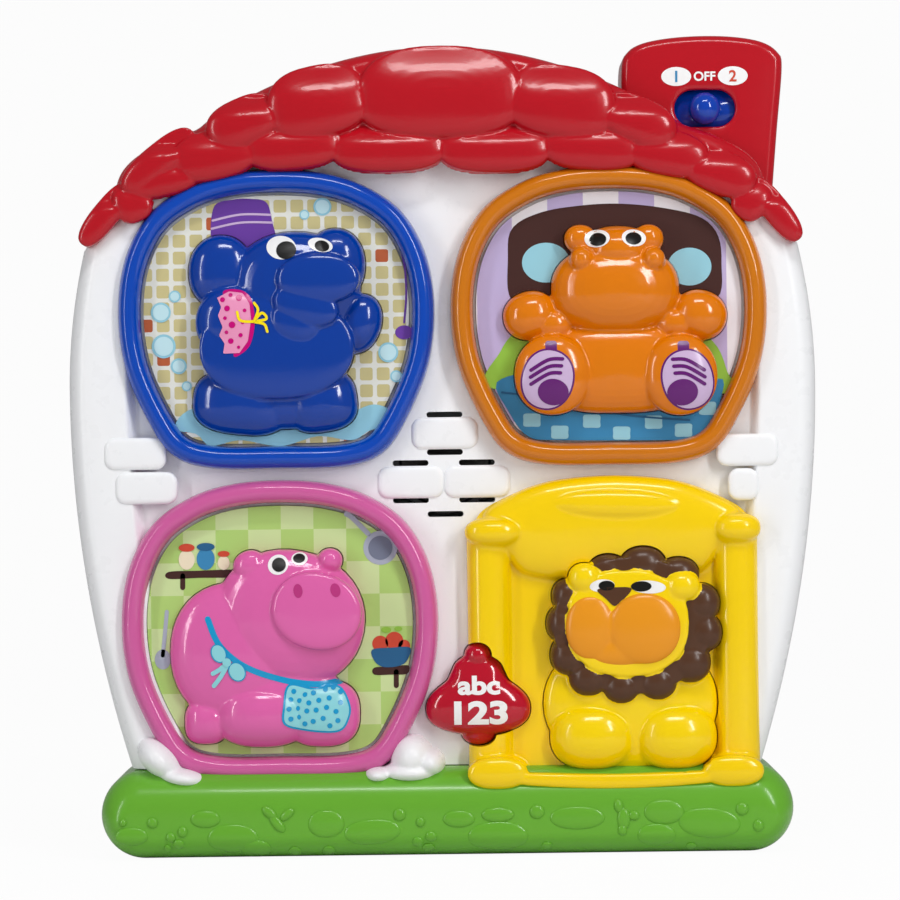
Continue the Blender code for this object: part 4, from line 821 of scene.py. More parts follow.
@dataclass(frozen=True)
class Lobe:
    """One puffy lobe of a moulded form, as shares of the form's height from its centre."""

    x: float
    z: float
    half_width: float
    half_height: float
    front: float
    turn: float = 0.0
    square: float = 2.1
    shoulder: float = 0.18
    puff: float = 1.95

    def outline(self, centre: Point, size: float, extra: float = 0.0) -> Loop:
        """Give the lobe's outline, grown by an extra."""
        return oval(centre[0] + self.x * size, centre[1] + self.z * size,
                    self.half_width * size + extra, self.half_height * size + extra,
                    self.turn, self.square)

    def solid(self, centre: Point, size: float, back: float, base: float,
              relief: float) -> bpy.types.Object:
        """Build the lobe from a flat back up to its domed front.

        Args:
            centre: the form's centre in the front plane.
            size: the form's height.
            back: depth of the flat back.
            base: depth that the front is measured from.
            relief: height of a lobe whose front is 1.

        Returns:
            A closed solid.
        """
        front = base - relief * self.front
        shoulder = base + (front - base) * self.shoulder
        middle = (centre[0] + self.x * size, centre[1] + self.z * size)
        return loft("lobe", dome_loops(self.outline(centre, size), middle, back, shoulder, front,
                                       puff=self.puff))


def lobes(*rows: Sequence[float], **shared: float) -> tuple[Lobe, ...]:
    """Make lobes from rows of their first shares and the values that they have in common."""
    return tuple(Lobe(*row, **shared) for row in rows)


# Sub-assemblies

@dataclass
class Plinth:
    """Green ground strip with stones in low relief."""

    width: float = 0.2540
    height: float = 0.0324
    front: float = -0.0408
    back: float = 0.0420
    edge: float = 0.0150
    edge_steps: int = 10
    lower_share: float = 0.60
    crisp_angle: float = 50
    stone_relief: float = 0.0011
    stone_square: float = 2.1
    stone_sides: int = 28

    # x and z of the centre, half width and half height, as shares of the plinth's width and
    # height, then the turn in degrees
    STONES = (
        (-0.453, 0.284, 0.0236, 0.103, 0), (-0.347, 0.469, 0.0216, 0.098, 0),
        (-0.308, 0.245, 0.0367, 0.164, 0), (-0.276, 0.113, 0.0223, 0.113, 0),
        (-0.174, 0.401, 0.0262, 0.154, 0), (-0.108, 0.303, 0.0407, 0.144, 4),
        (-0.423, 0.435, 0.0079, 0.062, 0), (-0.465, 0.44, 0.0052, 0.046, 0),
        (-0.397, 0.268, 0.0072, 0.057, 0), (-0.38, 0.329, 0.0072, 0.062, 0),
        (-0.386, 0.185, 0.0079, 0.057, 0), (-0.402, 0.135, 0.0052, 0.046, 0),
        (-0.255, 0.532, 0.0131, 0.057, -40), (-0.23, 0.51, 0.0125, 0.051, 40),
        (-0.244, 0.408, 0.0157, 0.057, -50), (-0.22, 0.077, 0.0092, 0.062, 0),
        (-0.171, 0.082, 0.0092, 0.062, 0), (-0.069, 0.494, 0.0092, 0.072, 0),
        (-0.039, 0.409, 0.0066, 0.057, 0), (-0.043, 0.183, 0.0079, 0.057, 0),
        (-0.024, 0.243, 0.0085, 0.062, 0), (-0.028, 0.11, 0.0092, 0.051, 0),
        (0.016, 0.439, 0.0231, 0.096, 0), (0.072, 0.479, 0.0238, 0.085, 0),
        (0.072, 0.235, 0.0433, 0.17, 0), (0.186, 0.434, 0.0397, 0.13, 0),
        (0.245, 0.564, 0.0065, 0.079, 10), (0.252, 0.416, 0.0094, 0.124, 0),
        (0.267, 0.454, 0.0079, 0.057, 0), (0.25, 0.292, 0.0065, 0.068, 0),
        (0.31, 0.49, 0.0289, 0.141, 0), (0.299, 0.231, 0.0274, 0.13, 0),
        (0.375, 0.359, 0.0447, 0.17, -4), (0.128, 0.507, 0.0108, 0.079, 0),
        (0.142, 0.116, 0.0079, 0.045, 0), (0.422, 0.513, 0.0094, 0.074, 0),
        (0.445, 0.324, 0.0079, 0.068, 0), (0.349, 0.085, 0.0079, 0.045, 0),
    )

    def surface(self, z: float) -> float:
        """Depth of the bar's rounded front at height z."""
        inward = min(self.height - z, z / self.lower_share)
        if inward >= self.edge:
            return self.front
        slope = 1 - inward / self.edge
        return self.front + self.edge * (1 - math.sqrt(max(0.0, 1 - slope * slope)))

    def outline(self, distance: float) -> Loop:
        """Stadium outline, drawn in by a distance at the top and less below."""
        low = distance * self.lower_share
        height = self.height - distance - low
        width = self.width - 2 * distance * self.lower_share
        return rounded_rectangle(0, low + height / 2, width, height, height * 0.4999, 16)

    def build(self) -> None:
        """Build the bar and its stones."""
        rings = rounded_slab(self.outline, self.front, self.back, self.edge, self.edge_steps)
        hand_over(crisp(loft("plinth_bar", rings), self.crisp_angle), GREEN, HOUSE_BODY, "base_plinth")
        stones = []
        for sx, sz, rx, rz, turn in self.STONES:
            x, z = sx * self.width, sz * self.height
            loop = oval(x, z, rx * self.width, rz * self.height, turn, self.stone_square, self.stone_sides)
            rings = dome_loops(loop, (x, z), WALL, 0.0, -self.stone_relief, 6, 2.0)
            stones.append(loft("stone", [[(px, py + self.surface(pz), pz) for px, py, pz in ring]
                                         for ring in rings]))
        hand_over(merge("plinth_stones", stones), GREEN, HOUSE_BODY)


@dataclass
class HouseShape:
    """Outline of the white body."""

    belly_width: float = 0.2755
    belly_height: float = 0.1720
    foot_width: float = 0.2324
    foot: float = 0.0327
    eave_width: float = 0.2628
    eave_height: float = 0.2248
    top: float = 0.2720
    arch_power: float = 3.0
    rows: int = 40

    def half_width(self, z: float) -> float:
        """Half width of the body at height z."""
        belly, foot, eave = self.belly_width / 2, self.foot_width / 2, self.eave_width / 2
        if z < self.belly_height:
            return belly - (belly - foot) * ((self.belly_height - z) / (self.belly_height - self.foot)) ** 2
        if z <= self.eave_height:
            rise = (z - self.belly_height) / (self.eave_height - self.belly_height)
            return belly - (belly - eave) * rise ** 2
        return eave * ((self.top - z) / (self.top - self.eave_height)) ** (1 / self.arch_power)

    def outline(self) -> Loop:
        """Outline of the whole body with a hair's clearance."""
        heights = [self.foot + (self.top - self.foot) * i / self.rows for i in range(self.rows)]
        right = [(self.half_width(z), z) for z in heights]
        return inset(right + [(0.0, self.top)] + [(-x, z) for x, z in reversed(right)], -GAP)


def window_outline(x: float, z: float, distance: float) -> Loop:
    """Outline of a window frame at x with its lowest point at z, drawn in by a distance."""
    loop = mirrored(WindowFrame.OUTLINE_SHARES, WindowFrame.WIDTH, WindowFrame.HEIGHT, x, z)
    return inset(resample(spline_loop(loop, 10), WindowFrame.SIDES), distance)


@dataclass
class FrontShell:
    """White front of the house with its side pillars, bricks and speaker slots."""

    shape: HouseShape
    edge: float = 0.0070
    edge_steps: int = 6
    pillar_width: float = 0.0250
    pillar_relief: float = 0.0042
    pillar_slope_share: float = 0.16
    brick_height: float = 0.0118
    brick_width: float = 0.0244
    brick_relief: float = 0.0012
    brick_edge_share: float = 1.1
    brick_slope_share: float = 1.9
    speaker_x: float = 0.0006
    speaker_z: float = 0.1440
    slot_length: float = 0.0132
    slot_height: float = 0.0021
    tucked_under_roof: float = 0.006
    rows: int = 60
    crisp_angle: float = 40

    # From the side edge inwards, as shares of the pillar's width
    SECTION_SHARES = (0.5, 0.82, *(0.84 + 0.02 * k for k in range(9)), 1.3)
    # x in brick widths and z in brick heights from the middle of the speaker
    BRICKS = ((0.0, 0.90), (-0.52, -0.62), (0.48, -0.62))
    SLOTS = ((0.0, 1.48), (0.0, 0.31), (-0.52, -0.02), (0.48, -0.02), (-0.52, -1.18), (0.48, -1.18),
             (0.0, -1.62))
    # x in metres, z in brick heights from the middle of the speaker, and the width in brick widths
    SIDE_BRICKS = ((-0.1130, 0.37, 0.93), (-0.1090, -0.70, 0.93), (0.1116, 0.27, 0.93),
                   (0.1100, -0.80, 0.46))

    def depth(self, from_edge: float) -> float:
        """How far the front stands out at a distance from the side edge."""
        if from_edge < self.edge:
            rise = math.sqrt(max(0.0, 1 - (1 - from_edge / self.edge) ** 2))
            return self.pillar_relief * rise - self.edge * (1 - rise)
        slope = self.pillar_width * self.pillar_slope_share
        fall = min(1.0, max(0.0, (self.pillar_width - from_edge) / slope))
        return self.pillar_relief * fall * fall * (3 - 2 * fall)

    def section(self, z: float) -> Ring:
        """Closed section of the wall at height z, outer side first."""
        half = self.shape.half_width(z)
        steps = [0.0]
        steps += [self.edge * (1 - math.cos(QUARTER * k / self.edge_steps))
                  for k in range(1, self.edge_steps)]
        steps += [self.edge] + [self.pillar_width * share for share in self.SECTION_SHARES]
        outer = [(half - d, FACE_Y - self.depth(d)) for d in steps]
        ring = [(half, PARTING_Y)] + outer + [(-x, y) for x, y in reversed(outer)] + [(-half, PARTING_Y)]
        inner = [(math.copysign(max(abs(x) - WALL, 0), x), min(max(y + WALL, FACE_Y + WALL), PARTING_Y))
                 for x, y in reversed(ring)]
        return [(x, y, z) for x, y in ring + inner]

    def beside_speaker(self, sx: float, sz: float) -> Point:
        """Turn brick widths and heights from the middle of the speaker into a place."""
        return (self.speaker_x + sx * self.brick_width, self.speaker_z + sz * self.brick_height)

    def build(self, cutters: Sequence[bpy.types.Object]) -> None:
        """Build the shell, cut its openings and lay its bricks."""
        low, high = self.shape.foot, self.shape.top - self.tucked_under_roof
        loops = [self.section(low + (high - low) * i / self.rows) for i in range(self.rows + 1)]
        shell = loft("front_wall", loops)
        slots = [prism("slot", rounded_rectangle(*self.beside_speaker(*place), self.slot_length,
                                                 self.slot_height, self.slot_height * 0.49),
                       -FAR, FACE_Y + OVERRUN) for place in self.SLOTS]
        cut(shell, [*cutters, *slots], self.crisp_angle)
        hand_over(shell, WHITE, HOUSE_BODY, "front_shell")
        bricks = [self.brick(*self.beside_speaker(*place), self.brick_width, 0.0) for place in self.BRICKS]
        bricks += [self.brick(x, self.beside_speaker(0, sz)[1], self.brick_width * share, self.pillar_relief)
                   for x, sz, share in self.SIDE_BRICKS]
        hand_over(merge("wall_bricks", bricks), WHITE, HOUSE_BODY)

    def brick(self, x: float, z: float, width: float, lift: float) -> bpy.types.Object:
        """A raised brick with soft edges."""
        loop = rounded_rectangle(x, z, width, self.brick_height, self.brick_height / 3)
        front = FACE_Y - self.brick_relief - lift
        edge, slope = self.brick_relief * self.brick_edge_share, self.brick_relief * self.brick_slope_share
        loops = [at_y(loop, FACE_Y - lift + WALL / 2)]
        for k in range(6):
            turn = QUARTER * k / 5
            loops.append(at_y(inset(loop, slope * (1 - math.cos(turn))), front + edge * (1 - math.sin(turn))))
        return loft("brick", loops)


@dataclass
class Bushes:
    """White bushes at the foot of the wall."""

    unit: float = 0.0324
    relief: float = 0.0155
    grain: float = 0.0006
    soften: int = 3

    LOBES = lobes((-3.250, 1.120, 0.300, 0.190, 0.98, -42), (-2.990, 0.915, 0.300, 0.120, 1.0, -10),
                  (-0.400, 1.110, 0.235, 0.260, 1.0, -25), (-0.195, 1.050, 0.180, 0.170, 0.98),
                  (-0.420, 0.945, 0.340, 0.130, 1.0), (-0.780, 0.920, 0.165, 0.100, 0.98))

    def build(self) -> None:
        """Fuse the lobes into bushes."""
        solids = [lobe.solid((0.0, 0.0), self.unit, FACE_Y + WALL / 2, FACE_Y, self.relief)
                  for lobe in self.LOBES]
        hand_over(fuse("corner_bushes", solids, self.grain, self.soften), WHITE, HOUSE_BODY)


@dataclass
class Roof:
    """Red roof: a smooth cap with rows of puffy tiles and two pointed tiles at its tips."""

    house: HouseShape
    half: float = 0.1346
    top: float = 0.2965
    tip: float = 0.2237
    front: float = -0.0310
    back: float = 0.0240
    relief: float = 0.0066
    edge: float = 0.0060
    edge_steps: int = 6
    grain: float = 0.0006
    spread: float = 1.05
    tile_square: float = 2.5
    tile_sides: int = 44
    tile_puff: float = 2.2
    leaf_puff: float = 2.0
    shoulder_share: float = 0.30
    fade_power: float = 0.8
    crisp_angle: float = 50

    # x as a share of the half width, z as a share of the height above the tips
    CREST_SHARES = ((0.0, 1.0), (0.131, 0.988), (0.284, 0.930), (0.438, 0.832), (0.550, 0.732),
                    (0.629, 0.646), (0.665, 0.597), (0.743, 0.548), (0.821, 0.474), (0.866, 0.396),
                    (0.886, 0.306), (0.889, 0.224))
    EAVE_SHARES = ((0.869, 0.148), (0.822, 0.177), (0.780, 0.240), (0.706, 0.290), (0.594, 0.375),
                   (0.505, 0.405), (0.371, 0.409), (0.282, 0.430), (0.0, 0.430))
    # x and z of the tile's highest point, half width, half height above it and half height
    # below it, then the turn in degrees and how far the tile stands out
    TILE_SHARES = (
        (0.003, 0.727, 0.215, 0.262, 0.186, 0, 1.00), (-0.329, 0.699, 0.131, 0.201, 0.151, 12, 0.95),
        (-0.534, 0.629, 0.098, 0.116, 0.121, 25, 0.88), (0.330, 0.685, 0.142, 0.201, 0.151, -10, 0.95),
        (0.541, 0.604, 0.103, 0.121, 0.111, -25, 0.88), (-0.140, 0.479, 0.147, 0.121, 0.111, 0, 0.80),
        (0.149, 0.472, 0.144, 0.121, 0.111, 0, 0.80), (-0.399, 0.500, 0.125, 0.121, 0.111, 4, 0.76),
        (0.415, 0.481, 0.128, 0.121, 0.111, -4, 0.76), (-0.611, 0.454, 0.112, 0.131, 0.111, 12, 0.74),
        (0.619, 0.436, 0.106, 0.121, 0.101, -12, 0.74), (-0.765, 0.436, 0.118, 0.082, 0.086, 40, 0.72),
        (-0.756, 0.342, 0.101, 0.101, 0.081, 12, 0.62), (-0.836, 0.223, 0.049, 0.101, 0.091, 25, 0.50),
        (0.760, 0.343, 0.098, 0.111, 0.101, -22, 0.70), (0.844, 0.195, 0.046, 0.101, 0.091, -40, 0.50),
    )
    LEAF_SHARES = ((-0.910, 0.172, 0.100, 0.065, 0.065, 51, 0.45),
                   (0.912, 0.157, 0.100, 0.065, 0.065, -53, 0.45))

    def point(self, share: Sequence[float]) -> Point:
        """Real place of a pair of shares on the roof."""
        return (share[0] * self.half, self.tip + share[1] * (self.top - self.tip))

    def outline(self) -> Loop:
        """Outline of the smooth cap."""
        right = smooth_path([self.point(share) for share in self.CREST_SHARES], 6)
        right += smooth_path([self.point(share) for share in self.EAVE_SHARES], 6)
        return resample(right + [(-x, z) for x, z in reversed(right) if x > GAP], 240)

    def tile(self, share: Sequence[float], back: float, puff: float) -> bpy.types.Object:
        """Build one puffy tile from its back to its highest point, fading out towards its upper edge."""
        x, z = self.point(share)
        tall = self.top - self.tip
        loop = oval(x, z, share[2] * self.half * self.spread, share[3] * tall * self.spread, share[5],
                    self.tile_square, self.tile_sides, share[4] * tall * self.spread)
        rows = dome_loops(loop, (x, z), back, self.front - self.relief * share[6] * self.shoulder_share,
                          self.front - self.relief * share[6], 9, puff)
        upper = z + share[3] * tall
        faded = []
        for row in rows:
            ring = []
            for px, py, pz in row:
                rise = min(1.0, max(0.0, (upper - pz) / (upper - z)))
                fade = math.sin(QUARTER * rise) ** self.fade_power
                ring.append((px, self.front + (py - self.front) * fade if py < self.front else py, pz))
            faded.append(ring)
        return loft("tile", faded)

    def build(self) -> None:
        """Build the cap and its tiles as one moulding round the top of the house."""
        outline = partial(inset, self.outline())
        solids = [loft("cap", rounded_slab(outline, self.front, self.back, self.edge, self.edge_steps))]
        solids += [self.tile(share, self.front + WALL * 2, self.tile_puff) for share in self.TILE_SHARES]
        solids += [self.tile(share, self.back, self.leaf_puff) for share in self.LEAF_SHARES]
        roof = fuse("tiled_roof", solids, self.grain, 1)
        cut(roof, [prism("house", self.house.outline(), FACE_Y - GAP, FAR)], self.crisp_angle)
        hand_over(roof, RED, HOUSE_BODY, "roof")


@dataclass
class Chimney:
    """Red chimney with its switch slot, ball knob and legends."""

    width: float = 0.0594
    height: float = 0.0600
    left: float = 0.0674
    top: float = 0.3000
    back: float = 0.0120
    wall: float = 0.0030
    edge: float = 0.0034
    edge_steps: int = 10
    bulge: float = 0.0010
    rim: float = 0.0006
    sides: int = 180
    crisp_angle: float = 50
    slot_x: float = 0.0978
    slot_z: float = 0.2730
    slot_length: float = 0.0225
    slot_height: float = 0.0137
    knob_radius: float = 0.0060
    knob_rings: int = 24
    stem_radius: float = 0.0030
    plate_thickness: float = 0.0016
    plate_corner: float = 0.002
    legend_rise: float = 0.0118
    legend_reach: float = 0.0104
    legend_half_width: float = 0.0055
    legend_half_height: float = 0.0035
    word_size: float = 0.0046
    number_size: float = 0.0058
    stroke_weight: float = 0.00012

    OUTLINE_SHARES = ((0.0, 0.0), (0.0, 0.40), (0.0, 0.80), (0.035, 0.900), (0.125, 0.956), (0.29, 0.988),
                      (0.50, 1.0), (0.71, 0.991), (0.875, 0.958), (0.970, 0.895), (0.997, 0.80),
                      (0.960, 0.40), (0.925, 0.0))
    # Rings of the face, as shares of the way from the slot's lip to the housing's edge
    FACE_SHARES = (0.12, 0.3, 0.5, 0.7, 0.86)

    def outline(self) -> Loop:
        """Outline of the housing with soft upper corners."""
        points = [(self.left + sx * self.width, self.top - self.height + sz * self.height)
                  for sx, sz in self.OUTLINE_SHARES]
        return resample(smooth_path(points), self.sides)

    def slot(self, outline: Loop, extra: float) -> Loop:
        """Rim of the slot, with one point towards each point of the outline."""
        radius = self.slot_height / 2 + extra
        straight = (self.slot_length - self.slot_height) / 2
        rim: Loop = []
        for x, z in outline:
            reach = math.dist((x, z), (self.slot_x, self.slot_z))
            dx, dz = (x - self.slot_x) / reach, (z - self.slot_z) / reach
            near, far = 0.0, self.slot_length
            for _ in range(30):
                mid = (near + far) / 2
                outside = math.hypot(max(abs(dx * mid) - straight, 0.0), dz * mid) > radius
                near, far = (near, mid) if outside else (mid, far)
            rim.append((self.slot_x + dx * near, self.slot_z + dz * near))
        return rim

    def build(self) -> None:
        """Build the housing, the knob and the legends."""
        loop = self.outline()
        face = inset(loop, self.edge)
        mouth, lip = self.slot(loop, 0.0), self.slot(loop, self.rim)
        loops = [at_y(inset(loop, self.wall), self.back - self.wall),
                 at_y(inset(loop, self.wall + self.rim), FACE_Y + self.wall),
                 at_y(mouth, FACE_Y + self.wall), at_y(mouth, FACE_Y + self.rim), at_y(lip, FACE_Y)]
        for share in self.FACE_SHARES:
            ring = [(a + (c - a) * share, b + (d - b) * share) for (a, b), (c, d) in zip(lip, face)]
            loops.append(at_y(ring, FACE_Y + self.bulge * share * share))
        loops += rounded_slab(partial(inset, loop), FACE_Y + self.bulge, self.back, self.edge,
                              self.edge_steps)
        housing = loft("chimney_housing", loops, closed=True)
        hand_over(crisp(housing, self.crisp_angle), RED, HOUSE_BODY, "chimney")
        self.build_knob()
        self.build_legends(housing)

    def build_knob(self) -> None:
        """Build the ball knob with its stem and slider plate."""
        low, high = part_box("switch_knob")
        ball_y = low[1] + self.knob_radius
        loops = []
        for k in range(1, self.knob_rings):
            turn = math.pi * k / self.knob_rings
            radius = self.knob_radius * math.sin(turn)
            if k > self.knob_rings / 2 and radius < self.stem_radius:
                break
            loops.append(at_y(oval(self.slot_x, self.slot_z, radius, radius),
                              ball_y - self.knob_radius * math.cos(turn)))
        loops.append(at_y(oval(self.slot_x, self.slot_z, self.stem_radius, self.stem_radius), high[1] - GAP))
        plate = prism("plate", rounded_rectangle(self.slot_x, self.slot_z, high[0] - low[0],
                                                 high[2] - low[2], self.plate_corner),
                      high[1] - self.plate_thickness, high[1])
        hand_over(merge("ball_knob", [loft("ball", loops), plate]), KNOB_BLUE, "mode_switch", "switch_knob")

    def build_legends(self, housing: bpy.types.Object) -> None:
        """Print the two numbered ovals and the word between them."""
        canvas = Canvas(housing)
        z = self.slot_z + self.legend_rise
        left, right = self.slot_x - self.legend_reach, self.slot_x + self.legend_reach
        ovals = [oval(x, z, self.legend_half_width, self.legend_half_height) for x in (left, right)]
        hand_over(canvas.shape("legend_ovals", ovals), Ink.WHITE.finish(RED.slot), HOUSE_BODY)
        for name, text, x, size, ink, layer in (
                ("legend_off", "OFF", self.slot_x, self.word_size, Ink.WHITE, 1),
                ("legend_one", "1", left, self.number_size, Ink.DENIM, 2),
                ("legend_two", "2", right, self.number_size, Ink.TOMATO, 2)):
            word = lettering(name, text, (x, z), size, canvas, layer, self.stroke_weight)
            hand_over(word, ink.finish(RED.slot), HOUSE_BODY)


def lettering(name: str, text: str, middle: Point, size: float, canvas: Canvas, layer: int,
              weight: float, wide: float = 1.0) -> bpy.types.Object:
    """Print plain letters on a surface.

    Args:
        name: the piece's name.
        text: the letters.
        middle: middle of the word in the front plane.
        size: height of a line of text.
        canvas: the surface to print on.
        layer: 1 for print on the piece, 2 for print on that print.
        weight: how much the strokes are fattened.
        wide: how much the word is stretched across.

    Returns:
        The printed word.
    """
    curve = bpy.data.curves.new(name, "FONT")
    curve.body = text
    curve.size = size
    curve.align_x = curve.align_y = "CENTER"
    curve.offset = weight
    temporary = bpy.data.objects.new(name, curve)
    bpy.context.collection.objects.link(temporary)
    mesh = bpy.data.meshes.new_from_object(
        temporary.evaluated_get(bpy.context.evaluated_depsgraph_get()))
    bpy.data.objects.remove(temporary, do_unlink=True)
    bpy.data.curves.remove(curve)
    bm = bmesh.new()
    bm.from_mesh(mesh)
    bmesh.ops.triangulate(bm, faces=bm.faces[:])
    for _ in range(3):
        long_edges = [e for e in bm.edges if e.calc_length() > PAINT_STEP]
        if long_edges:
            bmesh.ops.subdivide_edges(bm, edges=long_edges, cuts=1)
            bmesh.ops.triangulate(bm, faces=bm.faces[:])
    heights = [v.co.y for v in bm.verts]
    mid_height = (min(heights) + max(heights)) / 2
    for vert in bm.verts:
        vert.co = canvas.drop(middle[0] + vert.co.x * wide, middle[1] + vert.co.y - mid_height, layer)
    turn_to_front(bm)
    bm.to_mesh(mesh)
    bm.free()
    obj = bpy.data.objects.new(name, mesh)
    bpy.context.collection.objects.link(obj)
    return obj


@dataclass
class WindowFrame:
    """A moulded ring round a window."""

    name: str
    x: float
    z: float
    finish: Moulded
    steps: int = 16
    across_power: float = 0.85
    out_power: float = 0.75
    crisp_angle: float = 60

    WIDTH = 0.1165
    HEIGHT = 0.1100
    RING = 0.0085
    RELIEF = 0.0090
    SIDES = 160
    OUTLINE_SHARES = ((0.0, 1.0), (0.30, 0.988), (0.56, 0.945), (0.80, 0.855), (0.950, 0.71),
                      (1.0, 0.53), (0.955, 0.335), (0.80, 0.145), (0.655, 0.045), (0.42, 0.004),
                      (0.0, 0.0))

    def build(self) -> None:
        """Sweep a full, rounded section round the window."""
        loops = []
        for k in range(self.steps + 1):
            turn = math.pi * k / self.steps
            across = 0.5 - 0.5 * signed_power(math.cos(turn), self.across_power)
            out = math.sin(turn) ** self.out_power
            loops.append(at_y(window_outline(self.x, self.z, across * self.RING),
                              PANEL_BACK_Y - out * self.RELIEF))
        ring = loft(self.name + "_frame_ring", loops, closed=True)
        hand_over(crisp(ring, self.crisp_angle), self.finish, HOUSE_BODY, self.name + "_window_frame")


@dataclass
class Animal:
    """A press button in the form of an animal, with its painted face."""

    name: str
    centre: Point
    height: float
    finish: Moulded
    relief: float = 0.0135
    base: float = PANEL_FRONT_Y
    sunk: float = 0.0022
    grain: float = 0.0006
    soften: int = 2

    LOBES = ()

    @property
    def back(self) -> float:
        """Depth of the button's flat back."""
        return self.base + self.sunk

    def solids(self) -> list[bpy.types.Object]:
        """Build the closed solids that make up the form."""
        return [lobe.solid(self.centre, self.height, self.back, self.base, self.relief)
                for lobe in self.LOBES]

    def build(self) -> bpy.types.Object:
        """Fuse the solids into the button."""
        form = fuse(self.name + "_form", self.solids(), self.grain, self.soften)
        return hand_over(form, self.finish, self.name + "_key", self.name + "_button")

    def hole_outlines(self) -> list[Loop]:
        """Outlines of the hole that the button moves in."""
        return [lobe.outline(self.centre, self.height, GAP) for lobe in self.LOBES]

    def hole_cutters(self) -> list[bpy.types.Object]:
        """Cutters for the hole that the button moves in."""
        return [prism("hole", outline, -FAR, FAR) for outline in self.hole_outlines()]

    def at(self, x: float, z: float) -> Point:
        """Turn shares of the animal's height from its centre into a place."""
        return (self.centre[0] + x * self.height, self.centre[1] + z * self.height)

    def places(self, shares: Sequence[Point]) -> Loop:
        """Turn a row of shares of the animal's height into places."""
        return [self.at(x, z) for x, z in shares]

    def spot(self, x: float, z: float, half_width: float, half_height: float, turn: float = 0.0,
             square: float = 2.0, sides: int = 32) -> Loop:
        """An oval given in shares of the animal's height."""
        return oval(*self.at(x, z), half_width * self.height, half_height * self.height, turn, square, sides)

    def stroke(self, width: float, shares: Sequence[Point]) -> Loop:
        """A line through places, all in shares of the animal's height."""
        return ribbon(smooth_path(self.places(shares)), width * self.height)

    def paint(self, canvas: Canvas, part: str, outlines: Sequence[Loop], ink: Ink, layer: int = 1) -> None:
        """Paint outlines on the animal in one ink."""
        obj = canvas.shape(f"{self.name}_{part}", outlines, layer)
        hand_over(obj, ink.finish(self.finish.slot), self.name + "_key")

    def paint_eyes(self, canvas: Canvas, whites: Sequence[Sequence[float]],
                   pupils: Sequence[Sequence[float]]) -> None:
        """Paint the whites of the eyes and the pupils on them, given as spots."""
        self.paint(canvas, "eye_whites", [self.spot(*white) for white in whites], Ink.WHITE)
        self.paint(canvas, "pupils", [self.spot(*pupil) for pupil in pupils], Ink.BLACK, 2)


class Elephant(Animal):
    """Blue elephant with a washing mitt."""

    LOBES = (
        *lobes((-0.045, -0.085, 0.372, 0.242, 0.92), square=2.2, shoulder=0.80),
        *lobes((0.045, 0.213, 0.318, 0.270, 0.90), (-0.313, 0.289, 0.159, 0.181, 0.60),
               (0.350, 0.033, 0.111, 0.148, 0.60, -18), (0.239, 0.319, 0.148, 0.178, 0.72)),
        *lobes((0.161, 0.248, 0.198, 0.120, 1.14), shoulder=0.84),
        *lobes((0.100, 0.118, 0.158, 0.092, 1.08, -16), (0.048, 0.046, 0.118, 0.090, 1.02, -24),
               shoulder=0.86),
        *lobes((-0.253, 0.044, 0.185, 0.174, 0.94), shoulder=0.45),
        *lobes((-0.220, -0.345, 0.238, 0.155, 0.74, -6, 2.7), (0.164, -0.342, 0.176, 0.150, 0.72, 8, 2.7),
               (-0.020, -0.345, 0.180, 0.130, 0.60, 0, 2.4)),
    )
    # x, z and radius
    DOTS = ((-0.300, 0.150, 0.012), (-0.262, 0.172, 0.010), (-0.222, 0.158, 0.015),
            (-0.278, 0.108, 0.014), (-0.288, 0.062, 0.009), (-0.255, 0.030, 0.016),
            (-0.205, 0.040, 0.008), (-0.282, -0.005, 0.009), (-0.215, -0.020, 0.011),
            (-0.262, -0.048, 0.014), (-0.225, -0.078, 0.008), (-0.195, 0.098, 0.009))
    HEM = ((-0.300, 0.182), (-0.225, 0.200), (-0.166, 0.160), (-0.146, 0.050), (-0.166, -0.060),
           (-0.212, -0.110), (-0.250, -0.112), (-0.200, 0.040))
    MITT = ((-0.326, 0.160), (-0.270, 0.190), (-0.205, 0.182), (-0.172, 0.130), (-0.164, 0.050),
            (-0.180, -0.050), (-0.222, -0.106), (-0.300, -0.108), (-0.292, -0.060), (-0.318, -0.020),
            (-0.300, 0.020), (-0.322, 0.075), (-0.306, 0.115))
    BOW = (((-0.230, 0.090), (-0.215, 0.050), (-0.150, 0.044)),
           ((-0.150, 0.044), (-0.112, 0.085), (-0.090, 0.056), (-0.150, 0.044)),
           ((-0.150, 0.044), (-0.150, -0.005), (-0.125, 0.000), (-0.140, 0.044)),
           ((-0.148, 0.046), (-0.130, 0.100), (-0.148, 0.132)),
           ((-0.146, 0.042), (-0.100, 0.030), (-0.086, -0.005)))
    BOW_WIDTH = 0.013

    def decorate(self, form: bpy.types.Object) -> None:
        """Paint the eyes and the dotted mitt."""
        canvas = Canvas(form)
        self.paint_eyes(canvas, ((-0.016, 0.400, 0.072, 0.058, -10), (0.172, 0.411, 0.061, 0.034, -14)),
                        ((0.008, 0.386, 0.048, 0.044), (0.180, 0.405, 0.036, 0.027, -14)))
        self.paint(canvas, "mitt_hem", [spline_loop(self.places(self.HEM), 6)], Ink.MAGENTA)
        self.paint(canvas, "mitt", [resample(self.places(self.MITT), 90)], Ink.ROSE, 2)
        self.paint(canvas, "mitt_dots", [self.spot(x, z, r, r, sides=14) for x, z, r in self.DOTS],
                   Ink.MAGENTA, 3)
        for i, shares in enumerate(self.BOW):
            self.paint(canvas, f"bow_{i + 1}", [self.stroke(self.BOW_WIDTH, shares)], Ink.LEMON, 4)


